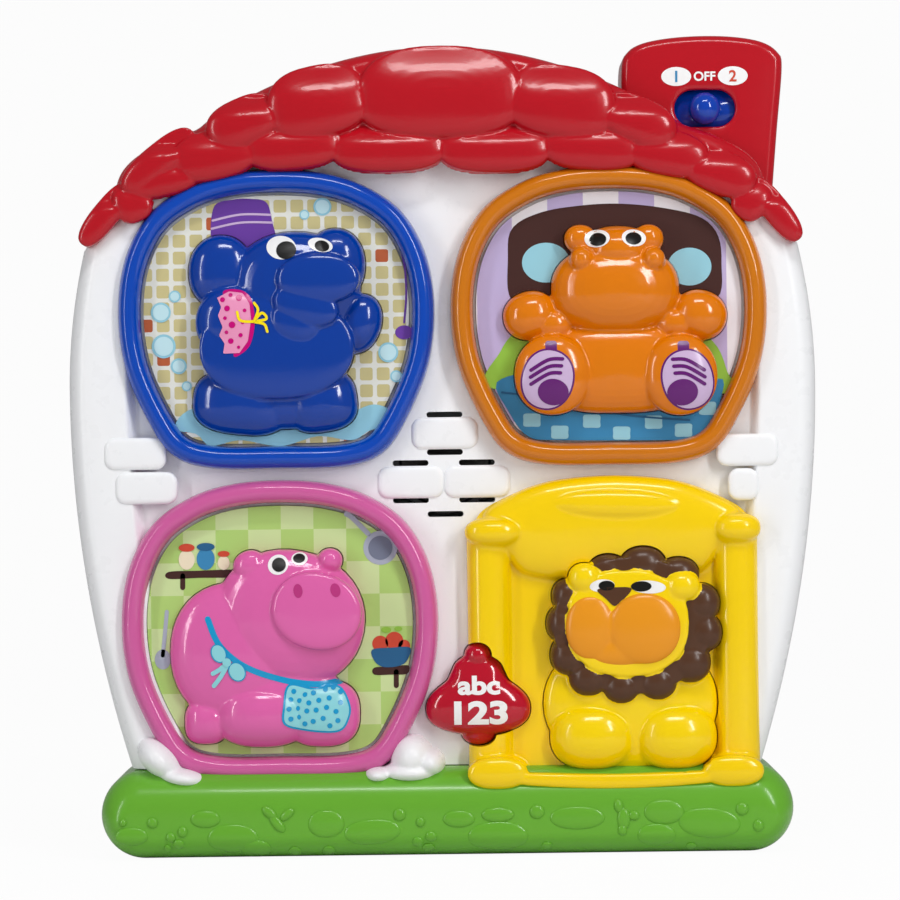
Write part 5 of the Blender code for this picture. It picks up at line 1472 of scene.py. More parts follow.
class Hippo(Animal):
    """Orange hippo that sits with its soles to the front."""

    LOBES = (
        *lobes((0.015, -0.252, 0.385, 0.236, 0.72, 0, 3.0), (0.008, 0.164, 0.337, 0.232, 1.06, 0, 2.3),
               (0.023, 0.372, 0.180, 0.122, 0.92, 0, 2.3)),
        *lobes((-0.173, 0.427, 0.084, 0.074, 0.66), (0.184, 0.423, 0.080, 0.076, 0.66), shoulder=0.5),
        *lobes((-0.170, 0.318, 0.060, 0.060, 0.98), (0.208, 0.314, 0.060, 0.060, 0.98), shoulder=0.7),
        *lobes((-0.438, 0.030, 0.144, 0.128, 0.66, 15), (0.451, 0.023, 0.144, 0.132, 0.66, -15),
               (-0.330, -0.020, 0.120, 0.090, 0.56), (0.330, -0.020, 0.120, 0.090, 0.56)),
        *lobes((-0.326, -0.284, 0.200, 0.210, 0.98), (0.341, -0.293, 0.195, 0.210, 0.98), shoulder=0.55),
    )
    # Side and middle of each sole
    SOLES = ((-1, -0.354, -0.308), (1, 0.375, -0.317))
    SOLE_LEAN = 14
    SOLE_RIM = (0.138, 0.160)
    SOLE = (0.128, 0.150)
    SOLE_SQUARE = 2.15
    # How far below the middle each stripe lies, and how far it reaches outwards
    STRIPES = ((0.078, 0.085), (0.042, 0.088), (0.006, 0.086))
    STRIPE_WIDTH = 0.019

    def decorate(self, form: bpy.types.Object) -> None:
        """Paint the eyes and the soles."""
        canvas = Canvas(form)
        self.paint_eyes(canvas, ((-0.087, 0.424, 0.066, 0.047, 4), (0.105, 0.424, 0.064, 0.045, -4)),
                        ((-0.083, 0.418, 0.044, 0.034), (0.102, 0.420, 0.042, 0.032)))
        for side, x, z in self.SOLES:
            way = "left" if side < 0 else "right"
            rim, sole = (self.spot(x, z, *halves, self.SOLE_LEAN * side, self.SOLE_SQUARE, 48)
                         for halves in (self.SOLE_RIM, self.SOLE))
            tab = rounded_rectangle(*self.at(x + side * -0.020, z + 0.165), 0.060 * self.height,
                                    0.070 * self.height, 0.016 * self.height)
            heel = self.spot(x - side * 0.028, z - 0.066, 0.080, 0.068, 8 * side)
            self.paint(canvas, f"{way}_sole_line", [rim], Ink.PURPLE)
            self.paint(canvas, f"{way}_sole_tab", [tab], Ink.PURPLE)
            self.paint(canvas, f"{way}_sole", [sole], Ink.LILAC, 2)
            self.paint(canvas, f"{way}_heel", [heel], Ink.PURPLE, 3)
            for i, (low, reach) in enumerate(self.STRIPES):
                path = ((x - side * (0.078 - 0.006 * i), z + low + 0.026),
                        (x - side * 0.005, z + low + 0.022), (x + side * reach, z + low - 0.030))
                self.paint(canvas, f"{way}_stripe_{i + 1}", [self.stroke(self.STRIPE_WIDTH, path)],
                           Ink.PURPLE, 3)


class Pig(Animal):
    """Pink pig with an apron."""

    LOBES = (
        *lobes((-0.159, -0.013, 0.324, 0.344, 0.74, 0, 2.2), (0.105, 0.149, 0.372, 0.337, 0.90, -12)),
        *lobes((0.243, 0.188, 0.220, 0.186, 1.10, -14), shoulder=0.84, puff=2.8),
        *lobes((-0.085, 0.410, 0.082, 0.076, 0.62, 20), (0.308, 0.432, 0.062, 0.060, 0.62), shoulder=0.5),
        *lobes((0.262, -0.318, 0.185, 0.165, 0.76, 0, 2.6), (-0.032, -0.322, 0.234, 0.160, 0.88, 0, 2.5),
               (-0.310, -0.356, 0.106, 0.108, 0.56, 0, 2.8), (0.020, -0.256, 0.350, 0.206, 0.66, 0, 2.4)),
    )
    NOSTRILS = ((0.155, 0.289, 0.022, 0.034, 6), (0.337, 0.290, 0.024, 0.034, 14))
    BAND = ((-0.291, 0.153), (-0.234, 0.025), (-0.118, -0.076), (0.053, -0.143), (0.225, -0.172),
            (0.352, -0.160))
    BAND_WIDTH = 0.030
    APRON = ((0.101, -0.170), (0.225, -0.190), (0.345, -0.182), (0.398, -0.270), (0.392, -0.345),
             (0.340, -0.404), (0.187, -0.398), (0.078, -0.366), (0.072, -0.280))
    APRON_HEM = 0.010
    APRON_DOTS = ((0.125, -0.205), (0.180, -0.222), (0.222, -0.215), (0.280, -0.200), (0.318, -0.190),
                  (0.352, -0.212), (0.110, -0.245), (0.152, -0.250), (0.200, -0.262), (0.248, -0.250),
                  (0.298, -0.240), (0.352, -0.262), (0.100, -0.290), (0.145, -0.288), (0.190, -0.300),
                  (0.235, -0.296), (0.285, -0.284), (0.330, -0.304), (0.108, -0.338), (0.150, -0.330),
                  (0.180, -0.362), (0.220, -0.350), (0.268, -0.336), (0.300, -0.372), (0.338, -0.348))
    DOT_RADIUS = 0.0125
    BOW_WINGS = ((-0.238, -0.014, 0.032, 0.042, 24), (-0.150, -0.104, 0.036, 0.044, 28))
    BOW_HEM = 0.006
    BOW_KNOT = (-0.199, -0.058, 0.021, 0.021)
    BOW_TAILS = (((-0.205, -0.070), (-0.238, -0.095), (-0.268, -0.112)),
                 ((-0.200, -0.075), (-0.228, -0.125), (-0.264, -0.172)))
    TAIL_WIDTH = 0.022

    def decorate(self, form: bpy.types.Object) -> None:
        """Paint the eyes, the band with its bow and the dotted apron."""
        canvas = Canvas(form)
        self.paint_eyes(canvas, ((0.056, 0.415, 0.051, 0.048, 30), (0.160, 0.442, 0.040, 0.031)),
                        ((0.060, 0.414, 0.034, 0.034), (0.158, 0.444, 0.029, 0.022)))
        self.paint(canvas, "nostrils", [self.spot(*spot) for spot in self.NOSTRILS], Ink.NOSTRIL_PINK)
        self.paint(canvas, "band", [self.stroke(self.BAND_WIDTH, self.BAND)], Ink.CYAN)
        loop = spline_loop(self.places(self.APRON), 8)
        self.paint(canvas, "apron_hem", [loop], Ink.CYAN, 2)
        self.paint(canvas, "apron", [inset(resample(loop, 72), self.APRON_HEM * self.height)], Ink.MINT, 3)
        self.paint(canvas, "apron_dots", [self.spot(x, z, self.DOT_RADIUS, self.DOT_RADIUS, sides=12)
                                          for x, z in self.APRON_DOTS], Ink.CYAN, 4)
        wings = [self.spot(*wing) for wing in self.BOW_WINGS]
        self.paint(canvas, "bow_hem", [inset(resample(wing, 32), -self.BOW_HEM * self.height)
                                       for wing in wings], Ink.CYAN, 3)
        self.paint(canvas, "bow_wings", wings, Ink.MINT, 4)
        self.paint(canvas, "bow_knot", [self.spot(*self.BOW_KNOT)], Ink.MINT, 5)
        for i, shares in enumerate(self.BOW_TAILS):
            self.paint(canvas, f"bow_tail_{i + 1}", [self.stroke(self.TAIL_WIDTH, shares)], Ink.MINT, 3)


class Lion(Animal):
    """Yellow lion; its mane and muzzle are painted over the mouldings."""

    LOCKS = lobes((-0.288, 0.284, 0.074, 0.078, 0.84), (-0.318, 0.160, 0.070, 0.082, 0.84),
                  (-0.288, 0.018, 0.083, 0.090, 0.84), (-0.199, -0.082, 0.092, 0.088, 0.86),
                  (-0.055, -0.125, 0.088, 0.082, 0.88), (0.105, -0.105, 0.092, 0.086, 0.88),
                  (0.252, -0.020, 0.097, 0.093, 0.86), (0.320, 0.113, 0.080, 0.088, 0.84),
                  (0.310, 0.245, 0.082, 0.088, 0.84), (0.205, 0.372, 0.096, 0.082, 0.82),
                  (0.048, 0.418, 0.106, 0.086, 0.82), (-0.108, 0.395, 0.092, 0.076, 0.80), shoulder=0.5)
    MANE = lobes((-0.005, 0.150, 0.352, 0.306, 0.80), shoulder=0.9) + LOCKS
    MUZZLE = lobes((-0.190, 0.144, 0.113, 0.143, 1.06), (0.049, 0.137, 0.161, 0.158, 1.14),
                   (-0.051, 0.036, 0.165, 0.071, 1.00), shoulder=0.80)
    LOBES = (
        *lobes((-0.012, -0.201, 0.392, 0.302, 0.58), (-0.184, -0.350, 0.192, 0.151, 0.94, 0, 2.3),
               (0.189, -0.354, 0.186, 0.151, 0.94, 0, 2.3)),
        *lobes((-0.024, 0.160, 0.272, 0.236, 0.94, 0, 2.3), shoulder=0.92),
        *lobes((-0.216, 0.364, 0.072, 0.068, 1.02), (0.221, 0.322, 0.079, 0.068, 1.02), shoulder=0.7),
        *LOCKS,
    )
    NOSE = ((-0.160, 0.312), (-0.085, 0.322), (-0.008, 0.316), (-0.050, 0.262), (-0.085, 0.240),
            (-0.120, 0.270))

    def skin(self, part: str, part_lobes: Sequence[Lobe], ink: Ink) -> bpy.types.Object:
        """Build a painted part of the head as a skin just over the form."""
        solids = [lobe.solid(self.centre, self.height, self.back + GAP, self.base, self.relief + PAINT)
                  for lobe in part_lobes]
        form = fuse(f"{self.name}_{part}", solids, self.grain, 1)
        return hand_over(form, ink.finish(self.finish.slot), self.name + "_key")

    def decorate(self, form: bpy.types.Object) -> None:
        """Add the brown mane and the orange muzzle, and paint the eyes and the nose."""
        self.skin("mane", self.MANE, Ink.MANE_BROWN)
        muzzle = self.skin("muzzle", self.MUZZLE, Ink.MUZZLE_ORANGE)
        self.paint_eyes(Canvas(form), ((-0.138, 0.330, 0.056, 0.028, 4), (0.068, 0.322, 0.078, 0.029, -3)),
                        ((-0.118, 0.330, 0.036, 0.022), (0.036, 0.325, 0.046, 0.023)))
        self.paint(Canvas(form, muzzle), "nose", [spline_loop(self.places(self.NOSE), 6)], Ink.MANE_BROWN, 2)


@dataclass(frozen=True)
class Motif:
    """A simple printed motif, given in shares of the window's half width and height."""

    name: str
    ink: Ink
    layer: int
    ovals: tuple[tuple[float, float, float, float], ...] = ()
    shapes: tuple[tuple[Point, ...], ...] = ()
    strokes: tuple[tuple[float, tuple[Point, ...]], ...] = ()

    def outlines(self, x: float, z: float) -> list[Loop]:
        """Outlines of the motif in a window at x whose lowest point is at z."""
        half, tall = WindowFrame.WIDTH / 2, WindowFrame.HEIGHT

        def places(shares: Sequence[Point]) -> Loop:
            """Turn shares of the window into places."""
            return [(x + sx * half, z + sz * tall) for sx, sz in shares]

        result = [oval(x + sx * half, z + sz * tall, rx * half, rz * tall) for sx, sz, rx, rz in self.ovals]
        result += [resample(spline_loop(places(shares), 6), 90) for shares in self.shapes]
        return result + [ribbon(smooth_path(places(shares)), width * tall) for width, shares in self.strokes]


# Outline of one square of the blanket from its middle, as shares of the window
SQUARE_SHARES = ((-0.0496, 0.0203), (0.0004, 0.022), (0.0507, 0.0196), (0.0534, -0.0004),
                 (0.0499, -0.0204), (-0.0006, -0.022), (-0.0506, -0.0197), (-0.0536, 0.0003))
BATH_MOTIFS = (
    Motif("puddle", Ink.SKY, 1, shapes=((
        (-0.623, 0.174), (-0.509, 0.206), (-0.321, 0.165), (-0.095, 0.15), (0.144, 0.149),
        (0.371, 0.161), (0.598, 0.212), (0.749, 0.178), (0.722, 0.138), (0.584, 0.126), (0.47, 0.093),
        (0.256, 0.108), (0.016, 0.076), (-0.235, 0.098), (-0.424, 0.079), (-0.511, 0.12),
        (-0.636, 0.134),
    ),)),
    Motif("towel", Ink.PLUM, 1, shapes=((
        (-0.38, 0.882), (-0.267, 0.901), (-0.153, 0.903), (-0.053, 0.89), (-0.017, 0.823),
        (0.007, 0.743), (-0.107, 0.73), (-0.245, 0.724), (-0.384, 0.712), (-0.407, 0.792),
    ),)),
    Motif("towel_stripes", Ink.LILAC, 2, strokes=(
        (0.0073, ((-0.394, 0.832), (-0.217, 0.851), (-0.029, 0.849))),
        (0.0073, ((-0.401, 0.805), (-0.218, 0.824), (-0.017, 0.823))),
    )),
    Motif("cord", Ink.PLUM, 1, strokes=((0.0067, (
        (0.426, 0.906), (0.576, 0.879), (0.713, 0.811), (0.799, 0.711), (0.821, 0.591), (0.806, 0.484),
    )),)),
    Motif("soap", Ink.PLUM, 2, ovals=((0.805, 0.451, 0.0566, 0.0233),)),
    Motif("bubble_rims", Ink.SKY, 2, ovals=(
        (-0.728, 0.527, 0.0629, 0.0333), (-0.639, 0.58, 0.0377, 0.02), (-0.712, 0.414, 0.0755, 0.04),
        (-0.619, 0.347, 0.0503, 0.0266), (-0.57, 0.28, 0.0315, 0.0167), (0.299, 0.874, 0.0566, 0.03),
        (0.185, 0.848, 0.0315, 0.0167), (0.703, 0.385, 0.0629, 0.0333), (0.751, 0.305, 0.0377, 0.02),
    )),
    Motif("bubbles", Ink.BUBBLE, 3, ovals=(
        (-0.728, 0.527, 0.0503, 0.0266), (-0.639, 0.58, 0.0277, 0.0147), (-0.712, 0.414, 0.0604, 0.032),
        (-0.619, 0.347, 0.0377, 0.02), (-0.57, 0.28, 0.0226, 0.012), (0.299, 0.874, 0.044, 0.0233),
        (0.185, 0.848, 0.0226, 0.012), (0.703, 0.385, 0.0503, 0.0266), (0.751, 0.305, 0.0277, 0.0147),
    )),
)
BED_MOTIFS = (
    Motif("headboard", Ink.COCOA, 1, shapes=((
        (-0.609, 0.553), (-0.631, 0.693), (-0.604, 0.793), (-0.426, 0.845), (-0.174, 0.867),
        (0.078, 0.872), (0.341, 0.857), (0.58, 0.825), (0.692, 0.765), (0.715, 0.671), (0.674, 0.545),
        (0.321, 0.527), (-0.056, 0.523), (-0.371, 0.532),
    ),)),
    Motif("pillows", Ink.SKY, 2, ovals=((-0.392, 0.678, 0.151, 0.0666), (0.513, 0.659, 0.1384, 0.0633))),
    Motif("hill", Ink.LEAF, 1, shapes=((
        (-0.742, 0.261), (-0.689, 0.38), (-0.561, 0.453), (-0.31, 0.451), (0.067, 0.415), (0.508, 0.446),
        (0.671, 0.398), (0.744, 0.304), (0.755, 0.238), (0.062, 0.216),
    ),)),
    Motif("blanket", Ink.DENIM, 2, shapes=((
        (-0.71, 0.281), (-0.439, 0.312), (-0.125, 0.27), (0.19, 0.295), (0.504, 0.259), (0.706, 0.285),
        (0.704, 0.225), (0.652, 0.145), (0.575, 0.086), (0.311, 0.081), (-0.318, 0.085), (-0.519, 0.099),
        (-0.643, 0.187),
    ),)),
    Motif("blanket_checks", Ink.SKY, 3, shapes=tuple(
        tuple((round(x + dx, 3), round(z + dz, 3)) for dx, dz in SQUARE_SHARES) for x, z in (
            (-0.4925, 0.1526), (-0.3175, 0.1114), (-0.1151, 0.1466), (0.0725, 0.1056), (0.2747, 0.141),
            (0.4629, 0.113), (0.6155, 0.1854),
        ))),
    Motif("seam", Ink.NAVY, 4, strokes=((0.006, (
        (-0.679, 0.247), (-0.315, 0.218), (0.061, 0.169), (0.501, 0.146),
    )),)),
)
KITCHEN_MOTIFS = (
    Motif("shelves", Ink.COCOA, 1, shapes=(
        (
            (-0.698, 0.697), (-0.509, 0.7), (-0.27, 0.701), (-0.27, 0.678), (-0.509, 0.676),
            (-0.698, 0.674),
        ),
        ((0.591, 0.369), (0.704, 0.372), (0.805, 0.375), (0.798, 0.348), (0.691, 0.345), (0.59, 0.346)),
    ), strokes=(
        (0.0167, ((-0.61, 0.684), (-0.611, 0.644))),
        (0.0167, ((0.729, 0.355), (0.728, 0.308))),
    )),
    Motif("jars", Ink.CREAM, 2, ovals=(
        (-0.584, 0.737, 0.0503, 0.0333), (-0.351, 0.725, 0.0377, 0.0233),
    )),
    Motif("blue_jar", Ink.DENIM, 2, ovals=((-0.464, 0.739, 0.0566, 0.0366),)),
    Motif("lids", Ink.TOMATO, 3, ovals=((-0.583, 0.777, 0.0503, 0.0133), (-0.35, 0.755, 0.0377, 0.01))),
    Motif("blue_lid", Ink.NAVY, 3, ovals=((-0.463, 0.779, 0.0566, 0.0133),)),
    Motif("pan", Ink.GREY, 1, ovals=((0.638, 0.769, 0.1069, 0.0566),), strokes=((0.0167, (
        (0.563, 0.816), (0.464, 0.87), (0.426, 0.883),
    )),)),
    Motif("pan_well", Ink.STEEL, 2, ovals=((0.638, 0.769, 0.0755, 0.04),)),
    Motif("bowl", Ink.NAVY, 2, shapes=((
        (0.579, 0.429), (0.693, 0.435), (0.819, 0.434), (0.792, 0.388), (0.729, 0.372), (0.641, 0.372),
        (0.591, 0.393),
    ),)),
    Motif("fruit", Ink.TOMATO, 1, ovals=(
        (0.63, 0.449, 0.0503, 0.0266), (0.719, 0.458, 0.0566, 0.03), (0.781, 0.441, 0.0377, 0.02),
    )),
    Motif("leaves", Ink.LEAF, 2, ovals=((0.669, 0.495, 0.0315, 0.01), (0.745, 0.498, 0.0252, 0.008))),
    Motif("ladle", Ink.GREY, 1, ovals=((-0.742, 0.405, 0.0503, 0.0333),), strokes=((0.0133, (
        (-0.713, 0.564), (-0.728, 0.484), (-0.742, 0.418),
    )),)),
)


@dataclass
class PicturePanel:
    """A printed sheet behind an animal, with a hole for it."""

    name: str
    x: float
    z: float
    print_finish: Printed
    animal: Animal
    motifs: tuple[Motif, ...]
    margin: float = 0.0010
    crisp_angle: float = 30

    def build(self) -> None:
        """Cut the sheet to the window and print its scene."""
        loop = window_outline(self.x, self.z, WindowFrame.RING + self.margin)
        sheet = prism(self.name + "_picture_sheet", loop, PANEL_FRONT_Y, PANEL_BACK_Y)
        cut(sheet, self.animal.hole_cutters(), self.crisp_angle)
        hand_over(sheet, self.print_finish, HOUSE_BODY, self.name + "_picture_panel")
        canvas = Canvas(flat_y=PANEL_FRONT_Y)
        for motif in self.motifs:
            print_layer = canvas.shape(f"{self.name}_{motif.name}", motif.outlines(self.x, self.z),
                                       motif.layer, self.animal.hole_outlines())
            hand_over(print_layer, motif.ink.finish(self.print_finish.slot), HOUSE_BODY)


@dataclass
class Doorway:
    """Yellow door surround."""

    x: float = 0.0616
    z: float = 0.0245
    width: float = 0.1070
    height: float = 0.1140
    niche_back: float = 0.0027
    relief: float = 0.0090
    column_width: float = 0.0163
    column_reach: float = 0.0455
    column_rings: int = 14
    column_sides: int = 20
    pediment_rings: int = 11
    sill_edge: float = 0.0012
    grain: float = 0.0007
    crisp_angle: float = 40

    # Middle, width, height and corner of the hole in the wall behind the surround, in metres
    WALL_HOLE = (0.0690, 0.0735, 0.0700, 0.0882, 0.012)
    # x as a share of the half width and z as a share of the height, right half from the top
    OUTLINE_SHARES = ((0.0, 1.0), (0.30, 0.992), (0.52, 0.972), (0.74, 0.930), (0.90, 0.885), (0.945, 0.83),
                      (0.945, 0.70), (0.945, 0.45), (0.950, 0.12), (0.93, 0.03), (0.70, 0.012),
                      (0.35, 0.0), (0.0, -0.004))
    PEDIMENT_SHARES = ((0.0, 0.999), (0.30, 0.990), (0.52, 0.970), (0.74, 0.928), (0.88, 0.880),
                       (0.86, 0.800), (0.735, 0.752), (0.655, 0.706), (0.560, 0.680), (0.30, 0.664),
                       (0.0, 0.660))
    SILL_SHARES = ((-0.72, 0.050), (0.0, 0.044), (0.72, 0.050), (0.72, 0.020), (0.40, 0.004),
                   (0.0, -0.002), (-0.40, 0.004), (-0.72, 0.020))
    # Lowest and highest place of the pediment's ridge line, as shares of the height
    RIDGE_SHARES = (0.80, 0.88)
    # x and z of the middle, as shares of the half width and the height, and the half axes, as
    # shares of the whole width and the height
    LENS_SHARES = (0.03, 0.906, 0.225, 0.044)
    LENS_TURN = -1.5
    # x and z as shares of the half width and the height, half axes as shares of the height, then
    # the heights of the rim and of the top
    KNOB_SHARES = ((-0.817, 0.822, 0.0920, 0.0470, 0.85, 1.50), (0.852, 0.826, 0.0770, 0.0490, 0.85, 1.50),
                   (-0.806, 0.051, 0.0965, 0.0510, 1.55, 1.88), (0.804, 0.050, 0.0965, 0.0500, 1.55, 1.88))

    def at(self, sx: float, sz: float) -> Point:
        """Turn shares of the half width and the height into a place."""
        return (self.x + sx * self.width / 2, self.z + sz * self.height)

    def half_outline(self, shares: Sequence[Point], per_span: int, count: int) -> Loop:
        """Outline whose right half is given in shares."""
        whole = mirrored(shares, self.width, self.height, self.x, self.z)
        return resample(spline_loop(whole, per_span), count)

    def dome(self, name: str, loop: Loop, middle: Point, rim: float, rise: float,
             rings: int) -> bpy.types.Object:
        """A round dome; its rim and its top are in shares of the relief."""
        return loft(name, dome_loops(loop, middle, PANEL_BACK_Y - GAP, PANEL_BACK_Y - self.relief * rim,
                                     PANEL_BACK_Y - self.relief * rise, rings, 2.0))

    def column(self, side: int) -> bpy.types.Object:
        """A half-round column that widens a little to its foot."""
        middle = self.x + side * self.column_reach
        loops = []
        for k in range(self.column_rings + 1):
            share = 0.05 + 0.78 * k / self.column_rings
            half = self.column_width / 2 * (0.97 + 0.05 * abs(share - 0.45))
            ring = []
            for i in range(self.column_sides + 1):
                turn = math.pi * i / self.column_sides
                ring.append((middle + half * signed_power(math.cos(turn), 0.9),
                             PANEL_BACK_Y - GAP - self.relief * math.sin(turn) ** 0.75,
                             self.z + share * self.height))
            loops.append(ring)
        return loft("column", loops)

    def pediment(self) -> bpy.types.Object:
        """The cushion over the niche, fullest along its middle."""
        band = self.half_outline(self.PEDIMENT_SHARES, 8, 160)
        low, high = (self.at(0.0, share)[1] for share in self.RIDGE_SHARES)
        loops = [at_y(band, PANEL_BACK_Y - GAP)]
        for ring in range(self.pediment_rings + 1):
            turn = QUARTER * min(ring / self.pediment_rings, 0.98)
            share = math.cos(turn) ** 0.8
            y = PANEL_BACK_Y - self.relief * (0.30 + 0.78 * math.sin(turn) ** 0.8)
            row = []
            for x, z in band:
                ridge_x = self.x + (x - self.x) * (0.80 + 0.20 * share)
                ridge_z = low + (high - low) * (1 - ((x - self.x) / (self.width / 2)) ** 2)
                row.append((ridge_x, y, ridge_z + (z - ridge_z) * share))
            loops.append(row)
        return loft("pediment", loops)

    def build(self, lion: Animal, bell: Animal) -> None:
        """Fuse the surround and cut it round its buttons."""
        outline = self.half_outline(self.OUTLINE_SHARES, 10, 180)
        parts = [prism("niche", outline, PANEL_BACK_Y - self.niche_back, PANEL_BACK_Y), self.pediment(),
                 self.column(-1), self.column(1)]
        sx, sz, rx, rz = self.LENS_SHARES
        middle = self.at(sx, sz)
        parts.append(self.dome("lens", oval(*middle, self.width * rx, self.height * rz, self.LENS_TURN),
                               middle, 0.98, 1.26, 6))
        for sx, sz, rx, rz, rim, rise in self.KNOB_SHARES:
            middle = self.at(sx, sz)
            parts.append(self.dome("knob", oval(*middle, rx * self.height, rz * self.height, 0, 2.3),
                                   middle, rim, rise, 8))
        loop = resample(spline_loop([self.at(sx, sz) for sx, sz in self.SILL_SHARES], 6), 60)
        parts.append(loft("sill", [at_y(loop, PANEL_BACK_Y - GAP),
                                   at_y(loop, PANEL_BACK_Y - self.relief * 1.64),
                                   at_y(inset(loop, self.sill_edge), PANEL_BACK_Y - self.relief * 1.72)]))
        surround = fuse("doorway", parts, self.grain, 2)
        cut(surround, lion.hole_cutters() + bell.hole_cutters(), self.crisp_angle)
        hand_over(surround, YELLOW, HOUSE_BODY, "door_surround")


class Bell(Animal):
    """Bell-shaped mode button with plain letters and numbers."""

    LOBES = (*lobes((0.0, 0.370, 0.130, 0.120, 0.86), shoulder=0.4), Lobe(0.0, -0.385, 0.165, 0.115, 0.60))
    # Right half of the bell's body, from its top, as shares of the button's height
    BODY_SHARES = ((0.0, 0.385), (0.12, 0.362), (0.212, 0.300), (0.256, 0.215), (0.302, 0.125),
                   (0.390, 0.055), (0.468, -0.025), (0.505, -0.120), (0.492, -0.225), (0.425, -0.305),
                   (0.310, -0.360), (0.170, -0.392), (0.0, -0.405))
    # Name, letters, middle as shares of the button's height, size, weight and stretch
    WORDS = (("bell_letters", "abc", (0.010, 0.085), 0.0092, 0.00034, 1.22),
             ("bell_numbers", "123", (0.0, -0.180), 0.0112, 0.00046, 1.34))

    def body(self, extra: float = 0.0) -> Loop:
        """Outline of the bell's body, grown by an extra."""
        right = self.places(self.BODY_SHARES)
        left = [(2 * self.centre[0] - x, z) for x, z in right[1:-1]]
        return inset(resample(spline_loop(right + left[::-1], 8), 120), -extra)

    def solids(self) -> list[bpy.types.Object]:
        """Build the body, the knob above it and the clapper below it."""
        body = dome_loops(self.body(), self.at(0.0, -0.10), self.back, self.base - self.relief * 0.35,
                          self.base - self.relief, 12, 2.1)
        return super().solids() + [loft("bell_body", body)]

    def hole_outlines(self) -> list[Loop]:
        """Outlines of the hole that the button moves in."""
        return super().hole_outlines() + [self.body(GAP)]

    def decorate(self, form: bpy.types.Object) -> None:
        """Print the letters and the numbers."""
        canvas = Canvas(form)
        for name, text, shares, size, weight, wide in self.WORDS:
            word = lettering(name, text, self.at(*shares), size, canvas, 1, weight, wide)
            hand_over(word, Ink.WHITE.finish(self.finish.slot), self.name + "_key")


def dress_nodes() -> None:
    """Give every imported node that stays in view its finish."""
    slots = {part["node"]: part["material_slot"] for part in frame["record"]["subparts"]}
    for name, obj in frame["nodes"].items():
        finish = NODE_FINISHES.get(slots.get(name, ""), WHITE)
        for slot in obj.material_slots:
            slot.material = finish.material()


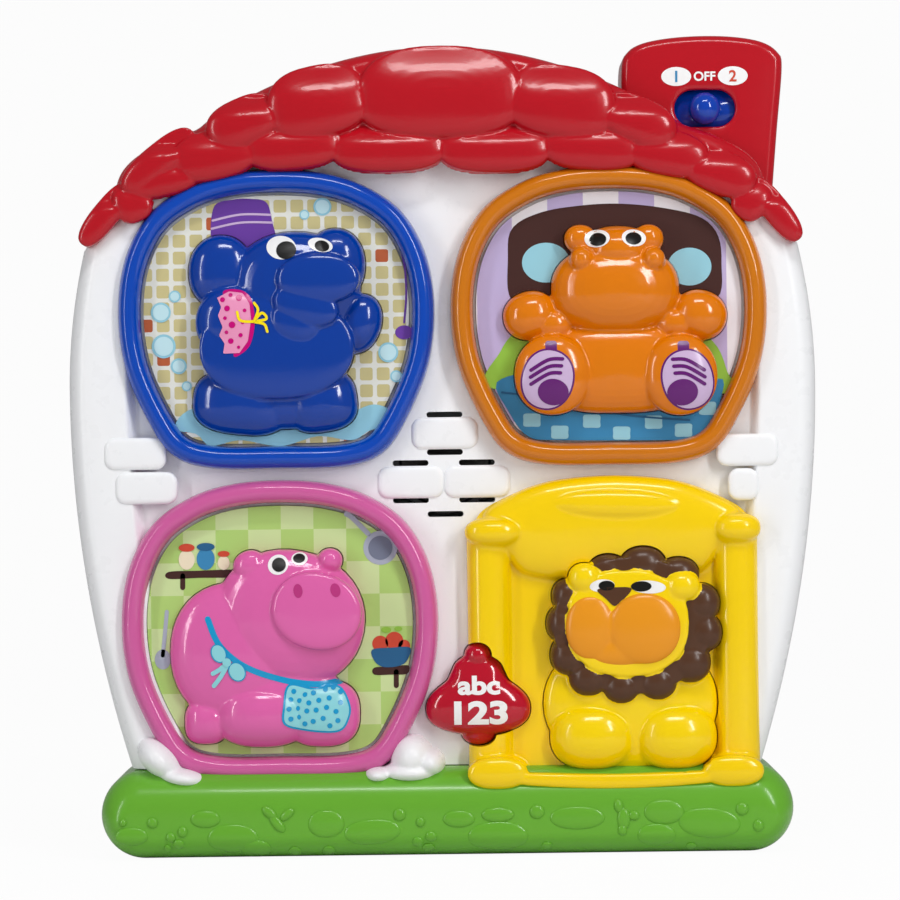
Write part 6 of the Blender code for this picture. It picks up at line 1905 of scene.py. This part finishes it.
@dataclass
class Studio:
    """Pale floor, soft light and the camera."""

    middle: Vector
    distance: float = 1.5
    frame_width: float = 0.3298
    sensor: float = 36.0
    roll: float = 0.7
    floor_reach: float = 3.0
    backdrop_y: float = 1.2
    backdrop_height: float = 2.4
    backdrop_radius: float = 0.8
    backdrop_steps: int = 10
    paper: float = 0.86
    paper_roughness: float = 0.7
    glow: float = 0.96
    surround: float = 0.23

    # Name, place, size across, size up and power of each soft box
    LAMPS = (("left_box", (-1.05, -0.85, 0.45), 0.10, 0.9, 3.8),
             ("right_box", (0.80, -1.00, 0.75), 0.14, 0.8, 7.8),
             ("top_box", (0.1, -0.75, 1.25), 0.6, 0.14, 5.0))

    def build(self) -> None:
        """Build the floor, the lamps and the camera."""
        self.build_floor()
        self.build_lamps()
        self.build_camera()
        bpy.context.scene.view_settings.view_transform = "Standard"

    def build_floor(self) -> None:
        """A pale floor that runs up into a backdrop."""
        profile = [(-self.floor_reach, 0.0)]
        for k in range(self.backdrop_steps + 1):
            turn = QUARTER * k / self.backdrop_steps
            profile.append((self.backdrop_y + self.backdrop_radius * math.sin(turn),
                            self.backdrop_radius * (1 - math.cos(turn))))
        profile.append((self.backdrop_y + self.backdrop_radius, self.backdrop_height))
        bm = bmesh.new()
        sides = [[bm.verts.new((x, y, z - GAP / 3)) for y, z in profile]
                 for x in (-self.floor_reach, self.floor_reach)]
        for i in range(len(profile) - 1):
            bm.faces.new((sides[0][i], sides[1][i], sides[1][i + 1], sides[0][i + 1]))
        bmesh.ops.recalc_face_normals(bm, faces=bm.faces)
        floor = new_object("studio_floor", bm)
        floor.data.materials.append(self.floor_material())

    def floor_material(self) -> bpy.types.Material:
        """Paper that the camera sees nearly white and that keeps the object's shadow."""
        mat = bpy.data.materials.new("studio_paper")
        mat.use_nodes = True
        w = Wiring(mat.node_tree)
        shader = w.fill(mat.node_tree.nodes["Principled BSDF"],
                        {"Base Color": (self.paper, self.paper, self.paper, 1.0),
                         "Roughness": self.paper_roughness})
        glow = w.fill(w.node("ShaderNodeEmission"), {"Strength": 1.0})
        seen = w.math("MULTIPLY", w.node("ShaderNodeLightPath").outputs["Is Camera Ray"], self.glow)
        mixer = w.fill(w.node("ShaderNodeMixShader"), {"Fac": seen})
        w.link(shader.outputs["BSDF"], mixer.inputs[1])
        w.link(glow.outputs["Emission"], mixer.inputs[2])
        w.link(mixer.outputs["Shader"], mat.node_tree.nodes["Material Output"].inputs["Surface"])
        return mat

    def build_lamps(self) -> None:
        """Two tall soft boxes, a top light and an even surround."""
        for name, place, across, up, power in self.LAMPS:
            light = bpy.data.lights.new(name, "AREA")
            light.shape = "RECTANGLE"
            light.size = across
            light.size_y = up
            light.energy = power
            lamp = bpy.data.objects.new(name, light)
            lamp.location = place
            lamp.rotation_euler = (self.middle - Vector(place)).to_track_quat("-Z", "Y").to_euler()
            bpy.context.collection.objects.link(lamp)
        world = bpy.data.worlds.new("studio_surround")
        world.use_nodes = True
        back = world.node_tree.nodes["Background"]
        back.inputs["Color"].default_value = (1.0, 1.0, 1.0, 1.0)
        back.inputs["Strength"].default_value = self.surround
        bpy.context.scene.world = world

    def build_camera(self) -> None:
        """A long lens straight in front, turned a little as in the photograph."""
        data = bpy.data.cameras.new("photo_camera")
        data.sensor_width = self.sensor
        data.lens = self.sensor * self.distance / self.frame_width
        camera = bpy.data.objects.new("photo_camera", data)
        camera.location = self.middle + Vector((0.0, -self.distance, 0.0))
        camera.rotation_euler = (math.radians(90), math.radians(self.roll), 0.0)
        bpy.context.collection.objects.link(camera)
        bpy.context.scene.camera = camera


def main() -> None:
    """Build the house piece by piece, then the studio round it."""
    logging.basicConfig(level=logging.INFO, format="%(name)s: %(message)s")
    elephant = Elephant("elephant", centre=(-0.0570, 0.1927), height=0.0758, finish=ELEPHANT_BLUE)
    hippo = Hippo("hippo", centre=(0.0632, 0.1953), height=0.0700, finish=HIPPO_ORANGE)
    pig = Pig("pig", centre=(-0.0650, 0.0762), height=0.0747, finish=PIG_PINK)
    lion = Lion("lion", centre=(0.0686, 0.0713), height=0.0817, finish=LION_YELLOW)
    bell = Bell("doorbell", centre=(0.0117, 0.0590), height=0.0380, finish=BELL_RED,
                relief=0.0100, base=FACE_Y)
    # Name, x, lowest point, frame, print, animal and motifs of each window
    windows = (("elephant", -0.0607, 0.1422, BLUE, BATH_TILES, elephant, BATH_MOTIFS),
               ("hippo", 0.0614, 0.1422, ORANGE, BED_STRIPES, hippo, BED_MOTIFS),
               ("pig", -0.0607, 0.0282, PINK, KITCHEN_CHECKS, pig, KITCHEN_MOTIFS))
    dress_nodes()
    Plinth().build()
    openings = [window_outline(x, z, WindowFrame.RING + WALL_PLAY) for _, x, z, *_ in windows]
    openings.append(rounded_rectangle(*Doorway.WALL_HOLE))
    holes = [prism("hole", opening, -FAR, FACE_Y + OVERRUN) for opening in openings]
    FrontShell(HouseShape()).build(holes + bell.hole_cutters())
    Bushes().build()
    Roof(HouseShape()).build()
    Chimney().build()
    for name, x, z, colour, paper, animal, motifs in windows:
        WindowFrame(name, x, z, colour).build()
        PicturePanel(name, x, z, paper, animal, motifs).build()
    Doorway().build(lion, bell)
    for animal in (elephant, hippo, pig, lion, bell):
        animal.decorate(animal.build())
    Studio(Vector((0.0025, -0.030, 0.1484))).build()


if __name__ == "__main__":
    main()
